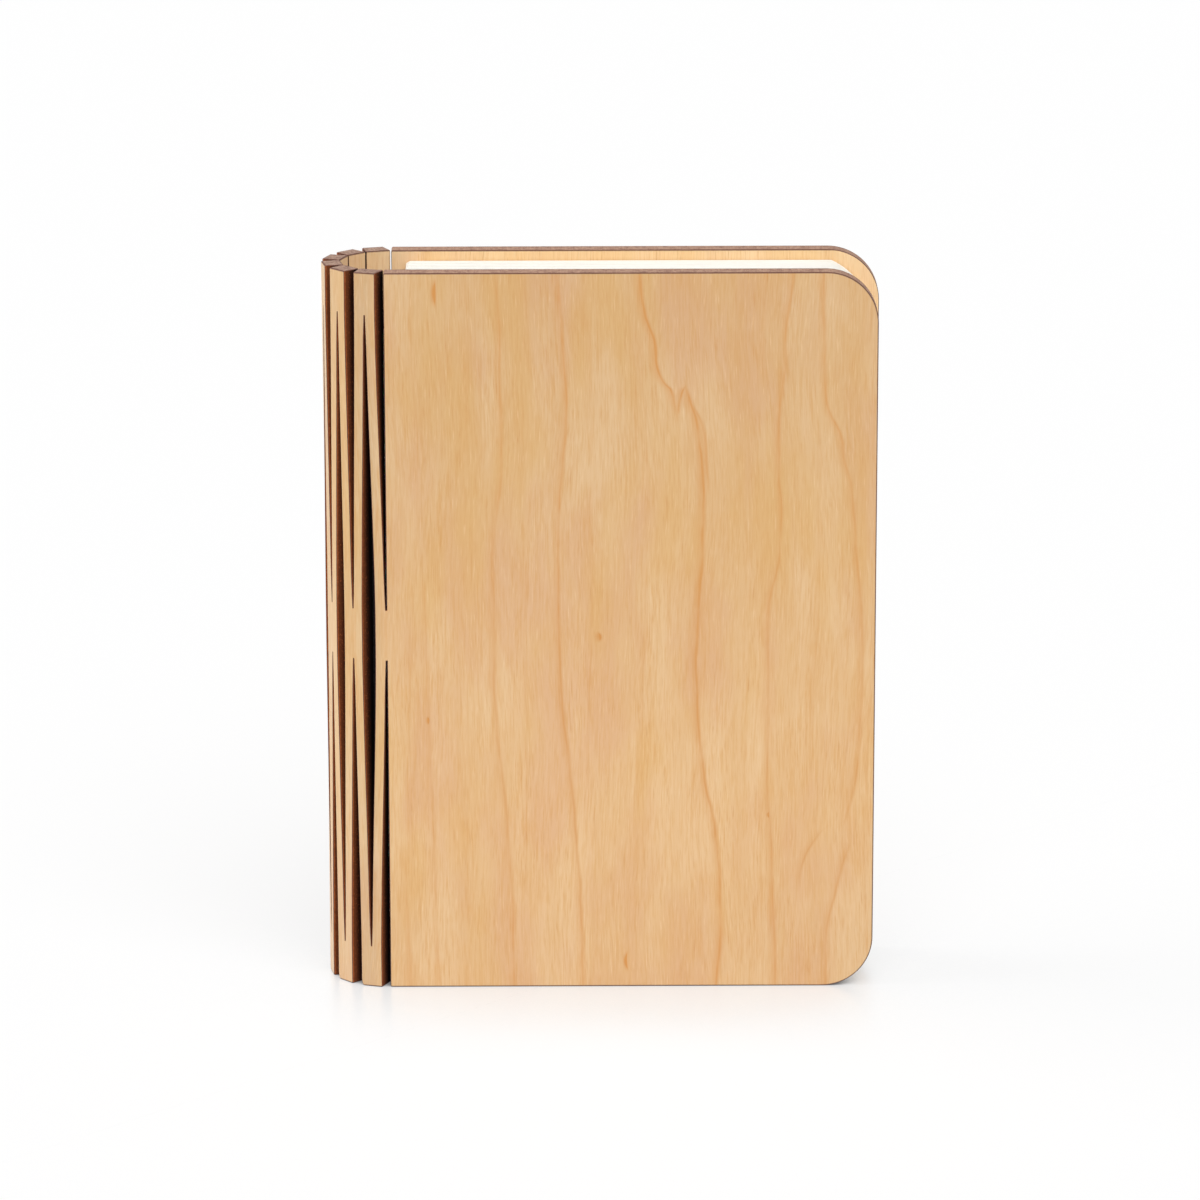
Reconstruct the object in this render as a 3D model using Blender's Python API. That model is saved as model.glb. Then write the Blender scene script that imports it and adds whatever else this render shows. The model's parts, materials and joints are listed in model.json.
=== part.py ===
"""Folding book lamp, closed and standing on its lower edges.

Two plywood covers and a lattice hinge, all cut from one sheet, close round a stack of pleated
pages. A slim light bar sits in the spine, behind the pages. Metres, +Z up. The front cover
faces -Y, the spine is at -X, and the origin is the middle of the box's underside.
"""
import math
from typing import NamedTuple

import bmesh
import bpy
from mathutils import Matrix, Vector

MM = 0.001

# The sheet, and the two covers at its ends
COVER_HEIGHT = 122.0 * MM
COVER_WIDTH = 80.5 * MM
PLY = 3.1 * MM
FORE_CORNER_RADIUS = 8.5 * MM
SPINE_CORNER_RADIUS = 0.8 * MM

# The lattice hinge: slats joined end to end by half strips that twist, and by bridges half way up
STRIP_WIDTH = 1.65 * MM
LASER_KERF = 0.3 * MM
SLAT_END_HEIGHT = 7.0 * MM
BRIDGE_HEIGHT = 8.5 * MM
LATTICE_CLEARANCE = 0.15 * MM
FULL_OPENING = math.radians(369.0)
FOLD_SHARES = (17.0, 30.5, 31.0, 31.0, 27.0, 28.0, 15.5)

# Pleated pages
PAGE_WIDTH = 75.9 * MM
PAGE_SPINE_INSET = 3.3 * MM
PAGE_HEAD_INSET = 1.7 * MM
PAPER = 0.2 * MM
LEAF_THICKNESS = 0.74 * MM
PAGE_CORNER_RADIUS = 12.0 * MM
PAGE_CORNER_KINK = math.radians(25.0)
ENDPAPER = 0.25 * MM

# Magnets that hold the covers together
CATCH_MAGNET_DIAMETER = 6.0 * MM
CATCH_MAGNET_THICKNESS = 1.5 * MM
CATCH_MAGNET_EDGE = 9.0 * MM
CATCH_MAGNET_HEAD = 16.0 * MM
SWITCH_MAGNET_DIAMETER = 4.0 * MM
SWITCH_MAGNET_THICKNESS = 1.2 * MM
SWITCH_MAGNET_EDGE = 7.0 * MM
SWITCH_MAGNET_HEAD = 30.0 * MM

# Light bar in the spine
BAR_END_INSET = 9.5 * MM
BAR_DEPTH = 7.2 * MM
BAR_WIDTH = 10.4 * MM
BAR_WALL = 0.7 * MM
BAR_BACK_CHAMFER = 1.2 * MM
BAR_FRONT_CHAMFER = 2.2 * MM
BAR_CAP = 0.8 * MM
BAR_PARTING_DEPTH = 3.9 * MM
FOAM_PAD = 1.8 * MM
FOAM_PAD_WIDTH = 3.0 * MM
FOAM_PAD_HEIGHT = 7.5 * MM

# What the light bar holds
BOARD = 0.6 * MM
BOARD_END_GAP = 0.7 * MM
BOARD_DEPTH = 4.05 * MM
BATTERY_THICKNESS = 2.6 * MM
BATTERY_WIDTH = 7.2 * MM
BATTERY_FOOT_GAP = 10.4 * MM
BATTERY_EDGE_ROUND = 0.5 * MM
SOCKET_WIDTH = 7.4 * MM
SOCKET_THICKNESS = 2.5 * MM
SOCKET_LENGTH = 5.6 * MM
SOCKET_WALL = 0.3 * MM
SOCKET_POCKET = 4.6 * MM
LED_WIDTH = 2.8 * MM
LED_LENGTH = 3.5 * MM
LED_TAPE = 0.2 * MM
LED_THICKNESS = 0.6 * MM
LED_COUNT = 12
CHIP_THICKNESS = 0.9 * MM
CHIP_SIDE = 3.0 * MM
CHIP_GAP = 1.0 * MM
SENSOR_WIDTH = 1.6 * MM
SENSOR_HEIGHT = 3.0 * MM
SENSOR_THICKNESS = 1.0 * MM
SENSOR_EDGE = 0.5 * MM
LEAD_DIAMETER = 0.8 * MM
LEAD_SPACING = 2.4 * MM
LEAD_RISE = 6.0 * MM
LEAD_GAP = 3.0 * MM

# Clearances shared by every seat, and the overrun of every cutter
SEAT_GAP = 0.3 * MM
CUTTER_OVERRUN = 1.0 * MM

# Counts of facets and steps
CORNER_STEPS = 10
SMALL_CORNER_STEPS = 3
FOLD_STEPS = 4
DISC_STEPS = 24
STRIP_STEPS = 8
LEAD_STEPS = 6
SMOOTH_BELOW = math.radians(35.0)

# Corners of a four-sided section, in half widths
SECTION = ((-1, -1), (1, -1), (1, 1), (-1, 1))

# Worked out from the sizes above
SLAT_COUNT = len(FOLD_SHARES) - 1
SLAT_WIDTH = 2 * STRIP_WIDTH + LASER_KERF
FOLDS = tuple(math.pi * share / sum(FOLD_SHARES) for share in FOLD_SHARES)
BRIDGE_LOW = (COVER_HEIGHT - BRIDGE_HEIGHT) / 2
BRIDGE_HIGH = (COVER_HEIGHT + BRIDGE_HEIGHT) / 2
BAR_LOW = BAR_END_INSET
BAR_HIGH = COVER_HEIGHT - BAR_END_INSET
BOARD_LOW = BAR_LOW + BAR_CAP + BOARD_END_GAP
BOARD_HIGH = BAR_HIGH - BAR_CAP - BOARD_END_GAP
LED_PITCH = (BOARD_HIGH - BOARD_LOW) / LED_COUNT
SENSOR_LOW = COVER_HEIGHT - SWITCH_MAGNET_HEAD - SENSOR_HEIGHT / 2
DRIVER_CHIP_LOW = SENSOR_LOW - CHIP_GAP - CHIP_SIDE
CHARGER_CHIP_LOW = DRIVER_CHIP_LOW - CHIP_GAP - CHIP_SIDE
LEADS_LOW = CHARGER_CHIP_LOW - LEAD_GAP - LEAD_RISE
BATTERY_LOW = BAR_LOW + SOCKET_LENGTH + BATTERY_FOOT_GAP
BATTERY_HIGH = LEADS_LOW - SEAT_GAP
STRIP_LOW = SLAT_END_HEIGHT + SEAT_GAP
STRIP_HIGH = COVER_HEIGHT - SLAT_END_HEIGHT - SEAT_GAP


def open_slit() -> float:
    """Width of the slit between two slats in the flat sheet.

    It is as narrow as lets the edges of the tightest fold pass each other, with the lattice
    clearance left over, both closed and folded right back.
    """
    past_flat = max(1.0, FULL_OPENING / math.pi - 1.0)
    tightest = max(FOLDS[1:-1]) / 2 * past_flat
    swing = PLY * math.sin(tightest) - SLAT_WIDTH / 2 * (1 - math.cos(tightest))
    return 2 * (LATTICE_CLEARANCE + swing) / (1 + math.cos(tightest))


SLIT = open_slit()
SLAT_TO_AXIS = (SLAT_WIDTH + SLIT) / 4
COVER_TO_AXIS = (LASER_KERF + SLIT + STRIP_WIDTH) / 2
AXIS_TO_END_SLAT = SLIT + SLAT_WIDTH / 2 - COVER_TO_AXIS
STRIP_CENTRE = (LASER_KERF + STRIP_WIDTH) / 2


class Block(NamedTuple):
    """One rigid stretch of the sheet.

    frame has its origin at the block's middle (a cover's spine edge), in the middle of the ply
    and at the foot of the sheet. Its X runs back towards the front cover, its Y points in to the
    pages and its Z is up. hinge is the upright axis that the block turns on, in plan.
    """

    name: str
    frame: Matrix
    hinge: Vector


class Walk(NamedTuple):
    """The frames of the rigid blocks in order, and the upright axes between each and the next."""

    frames: list[Matrix]
    axes: list[Vector]


def spine_names() -> list[str]:
    """Names of the rigid blocks from the front cover round to the back cover."""
    names = ["front_board", "slat_block_1"]
    for number in range(2, SLAT_COUNT + 1):
        names += [f"bridge_block_{number}", f"slat_block_{number}"]
    return names + ["back_board"]


def block_turns() -> list[float]:
    """How far each block turns from the one before it: each inner slit shares its fold between two."""
    turns = [FOLDS[0]]
    for fold in FOLDS[1:-1]:
        turns += [fold / 2, fold / 2]
    return turns + [FOLDS[-1]]


def walk_spine(start: Matrix) -> Walk:
    """Follow the middle of the closed sheet round the spine, block by block."""
    walk = Walk([start], [])
    turns = block_turns()
    for number, turn in enumerate(turns):
        first, last = number == 0, number == len(turns) - 1
        reach = COVER_TO_AXIS if first else AXIS_TO_END_SLAT if last else SLAT_TO_AXIS
        leave = AXIS_TO_END_SLAT if first else COVER_TO_AXIS if last else SLAT_TO_AXIS
        axis = walk.frames[-1] @ Matrix.Translation((-reach, 0, 0))
        walk.axes.append(axis.translation)
        walk.frames.append(axis @ Matrix.Rotation(-turn, 4, "Z") @ Matrix.Translation((-leave, 0, 0)))
    return walk


def plan_box(frames: list[Matrix]) -> tuple[float, float, float, float]:
    """Lowest and highest X, then lowest and highest Y, that the closed sheet reaches."""
    edges = [Vector((side * SLAT_WIDTH / 2, -PLY / 2, 0)) for side in (-1, 1)]
    slats = [frame @ edge for frame in frames[1:-1] for edge in edges]
    front, back = frames[0].translation, frames[-1].translation
    xs = [point.x for point in slats] + [front.x + COVER_WIDTH, back.x + COVER_WIDTH]
    ys = [point.y for point in slats] + [front.y - PLY / 2, back.y + PLY / 2]
    return min(xs), max(xs), min(ys), max(ys)


def centred_blocks() -> list[Block]:
    """The blocks of the closed sheet, with the origin under the middle of the part's box.

    The middle block is the root: each other block turns on the axis between it and the next
    block towards the root.
    """
    low_x, high_x, low_y, high_y = plan_box(walk_spine(Matrix.Identity(4)).frames)
    walk = walk_spine(Matrix.Translation((-(low_x + high_x) / 2, -(low_y + high_y) / 2, 0)))
    names = spine_names()
    root = len(names) // 2
    blocks = []
    for number, (name, frame) in enumerate(zip(names, walk.frames)):
        hinge = frame.translation
        if number != root:
            hinge = walk.axes[number - 1 if number > root else number]
        blocks.append(Block(name, frame, hinge))
    return blocks


BLOCKS = centred_blocks()
BLOCK = {block.name: block for block in BLOCKS}
FRONT = BLOCK["front_board"]
BACK = BLOCK["back_board"]
ROOT_NUMBER = len(BLOCKS) // 2
ROOT = BLOCKS[ROOT_NUMBER]

# Lines of the closed book that its pieces share
FRONT_INSIDE = FRONT.frame.translation.y + PLY / 2
BACK_INSIDE = BACK.frame.translation.y - PLY / 2
SPINE_EDGE = FRONT.frame.translation.x
PAGE_LEFT = SPINE_EDGE + PAGE_SPINE_INSET
PAGE_RIGHT = PAGE_LEFT + PAGE_WIDTH
PAGE_HIGH = COVER_HEIGHT - PAGE_HEAD_INSET
PAGE_CORNER_RUN = PAGE_CORNER_RADIUS * (math.cos(PAGE_CORNER_KINK) - math.sin(PAGE_CORNER_KINK))
PAGE_CORNER_START = PAGE_RIGHT - PAGE_CORNER_RUN
BAR_BACK = (ROOT.frame @ Vector((0, PLY / 2, 0))).x + FOAM_PAD + 2 * SEAT_GAP


def srgb(red: float, green: float, blue: float) -> tuple[float, float, float, float]:
    """A screen colour, each channel 0 to 255, as the linear colour that a shader takes."""
    channels = (red / 255, green / 255, blue / 255)
    linear = [c / 12.92 if c <= 0.04045 else ((c + 0.055) / 1.055) ** 2.4 for c in channels]
    return (*linear, 1.0)


class Finish(NamedTuple):
    """Colour and gloss of one material."""

    colour: tuple[float, float, float, float]
    roughness: float
    metallic: float


FINISHES = {
    "maple_ply": Finish(srgb(218, 178, 130), 0.55, 0.0),
    "pleated_paper": Finish(srgb(253, 252, 243), 0.75, 0.0),
    "nickel": Finish(srgb(190, 190, 186), 0.3, 1.0),
    "black_plastic": Finish(srgb(38, 37, 37), 0.5, 0.0),
    "frosted_cover": Finish(srgb(246, 244, 236), 0.35, 0.0),
    "circuit_board": Finish(srgb(240, 240, 235), 0.5, 0.0),
    "battery_film": Finish(srgb(150, 152, 156), 0.35, 0.4),
    "led_resin": Finish(srgb(248, 226, 120), 0.3, 0.0),
    "chip_epoxy": Finish(srgb(34, 34, 36), 0.5, 0.0),
    "socket_steel": Finish(srgb(178, 178, 176), 0.3, 1.0),
    "red_insulation": Finish(srgb(176, 40, 36), 0.5, 0.0),
    "black_insulation": Finish(srgb(30, 30, 32), 0.5, 0.0),
    "foam": Finish(srgb(226, 224, 216), 0.9, 0.0),
}


def clear_scene() -> None:
    """Remove whatever the open file holds."""
    for old in list(bpy.data.objects):
        bpy.data.objects.remove(old, do_unlink=True)


def material(name: str) -> bpy.types.Material:
    """The named finish as a Principled material, made on its first use."""
    found = bpy.data.materials.get(name)
    if found:
        return found
    finish = FINISHES[name]
    made = bpy.data.materials.new(name)
    made.use_nodes = True
    shader = made.node_tree.nodes["Principled BSDF"]
    shader.inputs["Base Color"].default_value = finish.colour
    shader.inputs["Roughness"].default_value = finish.roughness
    shader.inputs["Metallic"].default_value = finish.metallic
    return made


def body_frame(block: Block) -> Matrix:
    """Frame of a block's empty: on its hinge axis, turned as the block is."""
    return Matrix.Translation(block.hinge) @ block.frame.to_3x3().to_4x4()


def add_body(block: Block, parent: Block | None) -> None:
    """Add the empty that carries a block's pieces and turns on its hinge."""
    empty = bpy.data.objects.new(f"{block.name}_axis", None)
    empty.empty_display_size = STRIP_WIDTH
    bpy.context.scene.collection.objects.link(empty)
    local = body_frame(block)
    if parent:
        empty.parent = bpy.data.objects[f"{parent.name}_axis"]
        local = body_frame(parent).inverted() @ local
    empty.matrix_basis = local


def hang(piece: bpy.types.Object, block: Block) -> None:
    """Link a piece whose mesh is in the part's frame, and parent it to its block's empty."""
    frame = body_frame(block)
    piece.data.transform(frame.inverted())
    piece.parent = bpy.data.objects[f"{block.name}_axis"]
    bpy.context.scene.collection.objects.link(piece)


def add_node(name: str, bm: bmesh.types.BMesh, block: Block, finish: str,
             round_piece: bool = False) -> bpy.types.Object:
    """Turn a finished bmesh into a named object on one block."""
    bmesh.ops.recalc_face_normals(bm, faces=bm.faces)
    mesh = bpy.data.meshes.new(name)
    bm.to_mesh(mesh)
    bm.free()
    if round_piece:
        mesh.shade_smooth()
        mesh.set_sharp_from_angle(angle=SMOOTH_BELOW)
    mesh.materials.append(material(finish))
    piece = bpy.data.objects.new(name, mesh)
    hang(piece, block)
    return piece


def cut(piece: bpy.types.Object, cutter: bpy.types.Object) -> None:
    """Cut one piece with a hidden cutter."""
    cutter.hide_render = True
    cutter.display_type = "WIRE"
    boolean = piece.modifiers.new(cutter.name, "BOOLEAN")
    boolean.operation = "DIFFERENCE"
    boolean.solver = "EXACT"
    boolean.object = cutter


def prism(bm: bmesh.types.BMesh, outline: list[Vector], along: Vector) -> None:
    """Extrude a flat outline along a vector and close both ends."""
    near = [bm.verts.new(point) for point in outline]
    far = [bm.verts.new(point + along) for point in outline]
    bm.faces.new(near)
    bm.faces.new(far)
    for this in range(len(outline)):
        after = (this + 1) % len(outline)
        bm.faces.new((near[this], near[after], far[after], far[this]))


def box(bm: bmesh.types.BMesh, low: Vector, high: Vector) -> None:
    """Add an upright box between two corners."""
    plan = ((low.x, low.y), (high.x, low.y), (high.x, high.y), (low.x, high.y))
    prism(bm, [Vector((x, y, low.z)) for x, y in plan], Vector((0, 0, high.z - low.z)))


def disc(bm: bmesh.types.BMesh, middle: Vector, diameter: float, thickness: float) -> None:
    """Add a disc that lies flat against a cover: its axis is Y, and middle is its lower-Y face."""
    turns = [math.tau * step / DISC_STEPS for step in range(DISC_STEPS)]
    outline = [middle + diameter / 2 * Vector((math.cos(turn), 0, math.sin(turn))) for turn in turns]
    prism(bm, outline, Vector((0, thickness, 0)))


def corner(centre: Vector, radius: float, start: float, steps: int) -> list[Vector]:
    """Points of a quarter circle in the XZ plane, from a start angle on."""
    turns = [start + math.pi / 2 * step / steps for step in range(steps + 1)]
    return [centre + radius * Vector((math.cos(turn), 0, math.sin(turn))) for turn in turns]


def cover_outline(left: float, y: float) -> list[Vector]:
    """A cover's outline: big round corners at the fore-edge and nearly square ones at the spine."""
    right = left + COVER_WIDTH
    fore, spine = FORE_CORNER_RADIUS, SPINE_CORNER_RADIUS
    points = corner(Vector((right - fore, y, fore)), fore, -math.pi / 2, CORNER_STEPS)
    points += corner(Vector((right - fore, y, COVER_HEIGHT - fore)), fore, 0, CORNER_STEPS)
    points += corner(Vector((left + spine, y, COVER_HEIGHT - spine)), spine, math.pi / 2, SMALL_CORNER_STEPS)
    points += corner(Vector((left + spine, y, spine)), spine, math.pi, SMALL_CORNER_STEPS)
    return points


def catch_magnet_places(cover: Block) -> list[Vector]:
    """Middles of a cover's two catch magnets, in the part's X and Z."""
    x = cover.frame.translation.x + COVER_WIDTH - CATCH_MAGNET_EDGE
    return [Vector((x, 0, CATCH_MAGNET_HEAD)), Vector((x, 0, COVER_HEIGHT - CATCH_MAGNET_HEAD))]


def switch_magnet_place(cover: Block) -> Vector:
    """Middle of the magnet that switches the light, in the part's X and Z."""
    x = cover.frame.translation.x + SWITCH_MAGNET_EDGE
    return Vector((x, 0, COVER_HEIGHT - SWITCH_MAGNET_HEAD))


def magnet_discs(bm: bmesh.types.BMesh, places: list[Vector], inside: float, inward: float,
                 diameter: float, thickness: float) -> None:
    """Add discs sunk flush with a cover's inside face; inward is the sign of Y towards the pages."""
    low = inside - thickness if inward > 0 else inside
    for place in places:
        disc(bm, Vector((place.x, low, place.z)), diameter, thickness)


def magnet_pockets(name: str, cover: Block, inside: float, inward: float,
                   with_switch: bool) -> bpy.types.Object:
    """The cutter for a cover's magnet pockets, each a clearance larger than its magnet."""
    sizes = [(catch_magnet_places(cover), CATCH_MAGNET_DIAMETER, CATCH_MAGNET_THICKNESS)]
    if with_switch:
        sizes.append(([switch_magnet_place(cover)], SWITCH_MAGNET_DIAMETER, SWITCH_MAGNET_THICKNESS))
    bm = bmesh.new()
    for places, diameter, thickness in sizes:
        depth = thickness + SEAT_GAP + CUTTER_OVERRUN
        magnet_discs(bm, places, inside + inward * CUTTER_OVERRUN, inward, diameter + 2 * SEAT_GAP, depth)
    return add_node(name, bm, cover, "maple_ply")


def add_cover(name: str, cover: Block, inward: float, with_switch: bool) -> None:
    """Add one cover, its pocket cutter and its catch magnets."""
    middle = cover.frame.translation
    inside = middle.y + inward * PLY / 2
    bm = bmesh.new()
    prism(bm, cover_outline(middle.x, middle.y - PLY / 2), Vector((0, PLY, 0)))
    board = add_node(name, bm, cover, "maple_ply", round_piece=True)
    cut(board, magnet_pockets(f"{name}_pockets", cover, inside, inward, with_switch))
    for end, place in zip(("foot", "head"), catch_magnet_places(cover)):
        bm = bmesh.new()
        magnet_discs(bm, [place], inside, inward, CATCH_MAGNET_DIAMETER, CATCH_MAGNET_THICKNESS)
        add_node(f"{name}_{end}_magnet", bm, cover, "nickel", round_piece=True)


def add_switch_magnet() -> None:
    """Add the small magnet that tells the sensor the book is closed."""
    bm = bmesh.new()
    place = switch_magnet_place(FRONT)
    magnet_discs(bm, [place], FRONT_INSIDE, 1, SWITCH_MAGNET_DIAMETER, SWITCH_MAGNET_THICKNESS)
    add_node("switch_magnet", bm, FRONT, "nickel", round_piece=True)


def add_slat(number: int) -> None:
    """Add a slat's two end blocks, which carry its half strips."""
    block = BLOCK[f"slat_block_{number}"]
    for end, low in (("foot", 0), ("head", COVER_HEIGHT - SLAT_END_HEIGHT)):
        bm = bmesh.new()
        base = [block.frame @ Vector((x * SLAT_WIDTH / 2, y * PLY / 2, low)) for x, y in SECTION]
        prism(bm, base, Vector((0, 0, SLAT_END_HEIGHT)))
        add_node(f"slat_{number}_{end}", bm, block, "maple_ply")


def eased(share: float) -> float:
    """A share of a move that starts and stops gently, as a bar held at both ends does."""
    return share * share * (3 - 2 * share)


class Arm(NamedTuple):
    """A half strip: where it leaves its bridge, and where it meets its slat's end block."""

    bridge_x: float
    slat: Block
    slat_x: float


def strip_ring(bridge: Block, arm: Arm, share: float, z: float) -> list[Vector]:
    """Corners of a half strip's section part of the way from its bridge to its slat's end.

    The section turns at a steady rate, as a bar in torsion does, and drifts across as a bar held
    at both ends does.
    """
    leave = bridge.frame @ Vector((arm.bridge_x, 0, 0))
    reach = arm.slat.frame @ Vector((arm.slat_x, 0, 0))
    middle = leave.lerp(reach, eased(share))
    turned = bridge.frame.to_quaternion().slerp(arm.slat.frame.to_quaternion(), share)
    ring = [middle + turned @ Vector((x * STRIP_WIDTH / 2, y * PLY / 2, 0)) for x, y in SECTION]
    return [Vector((point.x, point.y, z)) for point in ring]


def flexure_arms(number: int) -> list[Arm]:
    """The half strips that meet at one slit's bridge, in order along the bridge's X."""
    if number == 1:
        return [Arm(-(LASER_KERF + STRIP_WIDTH / 2), BLOCK["slat_block_1"], STRIP_CENTRE)]
    if number == len(FOLDS):
        return [Arm(LASER_KERF + STRIP_WIDTH / 2, BLOCK[f"slat_block_{SLAT_COUNT}"], -STRIP_CENTRE)]
    after = Arm(-STRIP_CENTRE, BLOCK[f"slat_block_{number}"], STRIP_CENTRE)
    before = Arm(STRIP_CENTRE, BLOCK[f"slat_block_{number - 1}"], -STRIP_CENTRE)
    return [after, before]


def flexure_carrier(number: int) -> Block:
    """The block that a slit's bridge belongs to: the covers' own slits have it on the cover."""
    if number == 1:
        return FRONT
    return BACK if number == len(FOLDS) else BLOCK[f"bridge_block_{number}"]


def add_flexure(number: int) -> None:
    """Add one slit's bridge and the twisted half strips that reach up and down from it."""
    block = flexure_carrier(number)
    arms = flexure_arms(number)
    breaks = [arm.bridge_x + side * STRIP_WIDTH / 2 for arm in arms for side in (-1, 1)]
    bm = bmesh.new()
    rows = []
    for z in (BRIDGE_LOW, BRIDGE_HIGH):
        ends = [[block.frame @ Vector((x, y * PLY / 2, z)) for y in (-1, 1)] for x in breaks]
        rows.append([[bm.verts.new(point) for point in pair] for pair in ends])
    low, high = rows
    for left in range(len(breaks) - 1):
        for face in (0, 1):
            bm.faces.new((low[left][face], low[left + 1][face], high[left + 1][face], high[left][face]))
        if left % 2:
            for row in rows:
                bm.faces.new((row[left][0], row[left + 1][0], row[left + 1][1], row[left][1]))
    for end in (0, -1):
        bm.faces.new((low[end][0], low[end][1], high[end][1], high[end][0]))
    for order, arm in enumerate(arms):
        for row, start, stop in ((low, BRIDGE_LOW, STRIP_LOW), (high, BRIDGE_HIGH, STRIP_HIGH)):
            left, right = row[2 * order], row[2 * order + 1]
            ring = [left[0], right[0], right[1], left[1]]
            for step in range(1, STRIP_STEPS + 1):
                share = step / STRIP_STEPS
                z = start + (stop - start) * share
                following = [bm.verts.new(point) for point in strip_ring(block, arm, share, z)]
                for this in range(len(ring)):
                    after = (this + 1) % len(ring)
                    bm.faces.new((ring[this], ring[after], following[after], following[this]))
                ring = following
            bm.faces.new(ring)
    add_node(f"flexure_{number}", bm, block, "maple_ply")


def page_head(x: float) -> float:
    """Height of a page's top edge above X: level, then falling round the cut fore-edge corner."""
    past = x - PAGE_CORNER_START
    if past <= 0:
        return PAGE_HIGH
    across = past + PAGE_CORNER_RADIUS * math.sin(PAGE_CORNER_KINK)
    level = PAGE_CORNER_RADIUS * math.cos(PAGE_CORNER_KINK)
    return PAGE_HIGH - level + math.sqrt(PAGE_CORNER_RADIUS ** 2 - across ** 2)


def page_columns(stop: float) -> list[float]:
    """X of the points along a page, close together only round its cut corner."""
    run = stop - PAGE_CORNER_START
    return [PAGE_LEFT] + [PAGE_CORNER_START + run * step / CORNER_STEPS for step in range(CORNER_STEPS + 1)]


def ribbon(bm: bmesh.types.BMesh, pairs: list[tuple[Vector, Vector]]) -> None:
    """Close a paper-thin upright wall given by pairs of plan points on its two faces."""
    posts = []
    for pair in pairs:
        heights = [(page_head(point.x), COVER_HEIGHT - page_head(point.x)) for point in pair]
        posts.append([[bm.verts.new(Vector((point.x, point.y, z))) for z in (low, high)]
                      for point, (high, low) in zip(pair, heights)])
    for here, there in zip(posts, posts[1:]):
        for face in (0, 1):
            bm.faces.new((here[face][0], there[face][0], there[face][1], here[face][1]))
        for level in (0, 1):
            bm.faces.new((here[0][level], there[0][level], there[1][level], here[1][level]))
    for end in (posts[0], posts[-1]):
        bm.faces.new((end[0][0], end[0][1], end[1][1], end[1][0]))


def leaf_pairs(y: float) -> list[tuple[Vector, Vector]]:
    """Plan points of a folded page: out along one panel, round the fold and back along the other."""
    outside, inside = LEAF_THICKNESS / 2, LEAF_THICKNESS / 2 - PAPER
    bend = PAGE_RIGHT - outside
    near = [(Vector((x, y - outside, 0)), Vector((x, y - inside, 0))) for x in page_columns(bend)]
    far = [(Vector((x, y + outside, 0)), Vector((x, y + inside, 0))) for x in reversed(page_columns(bend))]
    fold = []
    for step in range(1, FOLD_STEPS):
        turn = math.pi * step / FOLD_STEPS - math.pi / 2
        spoke = Vector((math.cos(turn), math.sin(turn), 0))
        fold.append(tuple(Vector((bend, y, 0)) + radius * spoke for radius in (outside, inside)))
    return near + fold + far


def add_pages() -> None:
    """Add the endpapers, and one folded leaf on each moving block of the spine."""
    for name, cover, y in (("front_endpaper", FRONT, FRONT_INSIDE + SEAT_GAP),
                           ("back_endpaper", BACK, BACK_INSIDE - SEAT_GAP - ENDPAPER)):
        bm = bmesh.new()
        columns = page_columns(PAGE_RIGHT)
        ribbon(bm, [(Vector((x, y, 0)), Vector((x, y + ENDPAPER, 0))) for x in columns])
        add_node(name, bm, cover, "pleated_paper")
    first = FRONT_INSIDE + SEAT_GAP + ENDPAPER
    last = BACK_INSIDE - SEAT_GAP - ENDPAPER
    carriers = BLOCKS[1:-1]
    for number, block in enumerate(carriers, start=1):
        bm = bmesh.new()
        ribbon(bm, leaf_pairs(first + (last - first) * (2 * number - 1) / (2 * len(carriers))))
        add_node(f"page_{number:02d}", bm, block, "pleated_paper", round_piece=True)


def bar_side(inset: float, chamfer: float, end: float, toward: float) -> list[tuple[float, float]]:
    """Plan points of one end of the light bar's section, from +Y round to -Y.

    end is the depth of that end's flat, and toward is the sign of X from it into the bar.
    """
    half = BAR_WIDTH / 2 - inset
    leg = chamfer - inset * (2 - math.sqrt(2))
    face = end + toward * inset
    return [(face + toward * leg, half), (face, half - leg), (face, leg - half), (face + toward * leg, -half)]


def bar_prism(bm: bmesh.types.BMesh, points: list[tuple[float, float]], low: float, high: float) -> None:
    """Extrude a section given in depth into the bar and in Y."""
    outline = [Vector((BAR_BACK + depth, across, low)) for depth, across in points]
    prism(bm, outline, Vector((0, 0, high - low)))


def half_shell(chamfer: float, end: float, toward: float, parting: float) -> list[tuple[float, float]]:
    """Section of one half of the light bar's shell, open at its parting line."""
    outer = bar_side(0, chamfer, end, toward)
    inner = bar_side(BAR_WALL, chamfer, end, toward)
    outer_half, inner_half = BAR_WIDTH / 2, BAR_WIDTH / 2 - BAR_WALL
    points = [(parting, outer_half)] + outer + [(parting, -outer_half)]
    return points + [(parting, -inner_half)] + inner[::-1] + [(parting, inner_half)]


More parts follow.
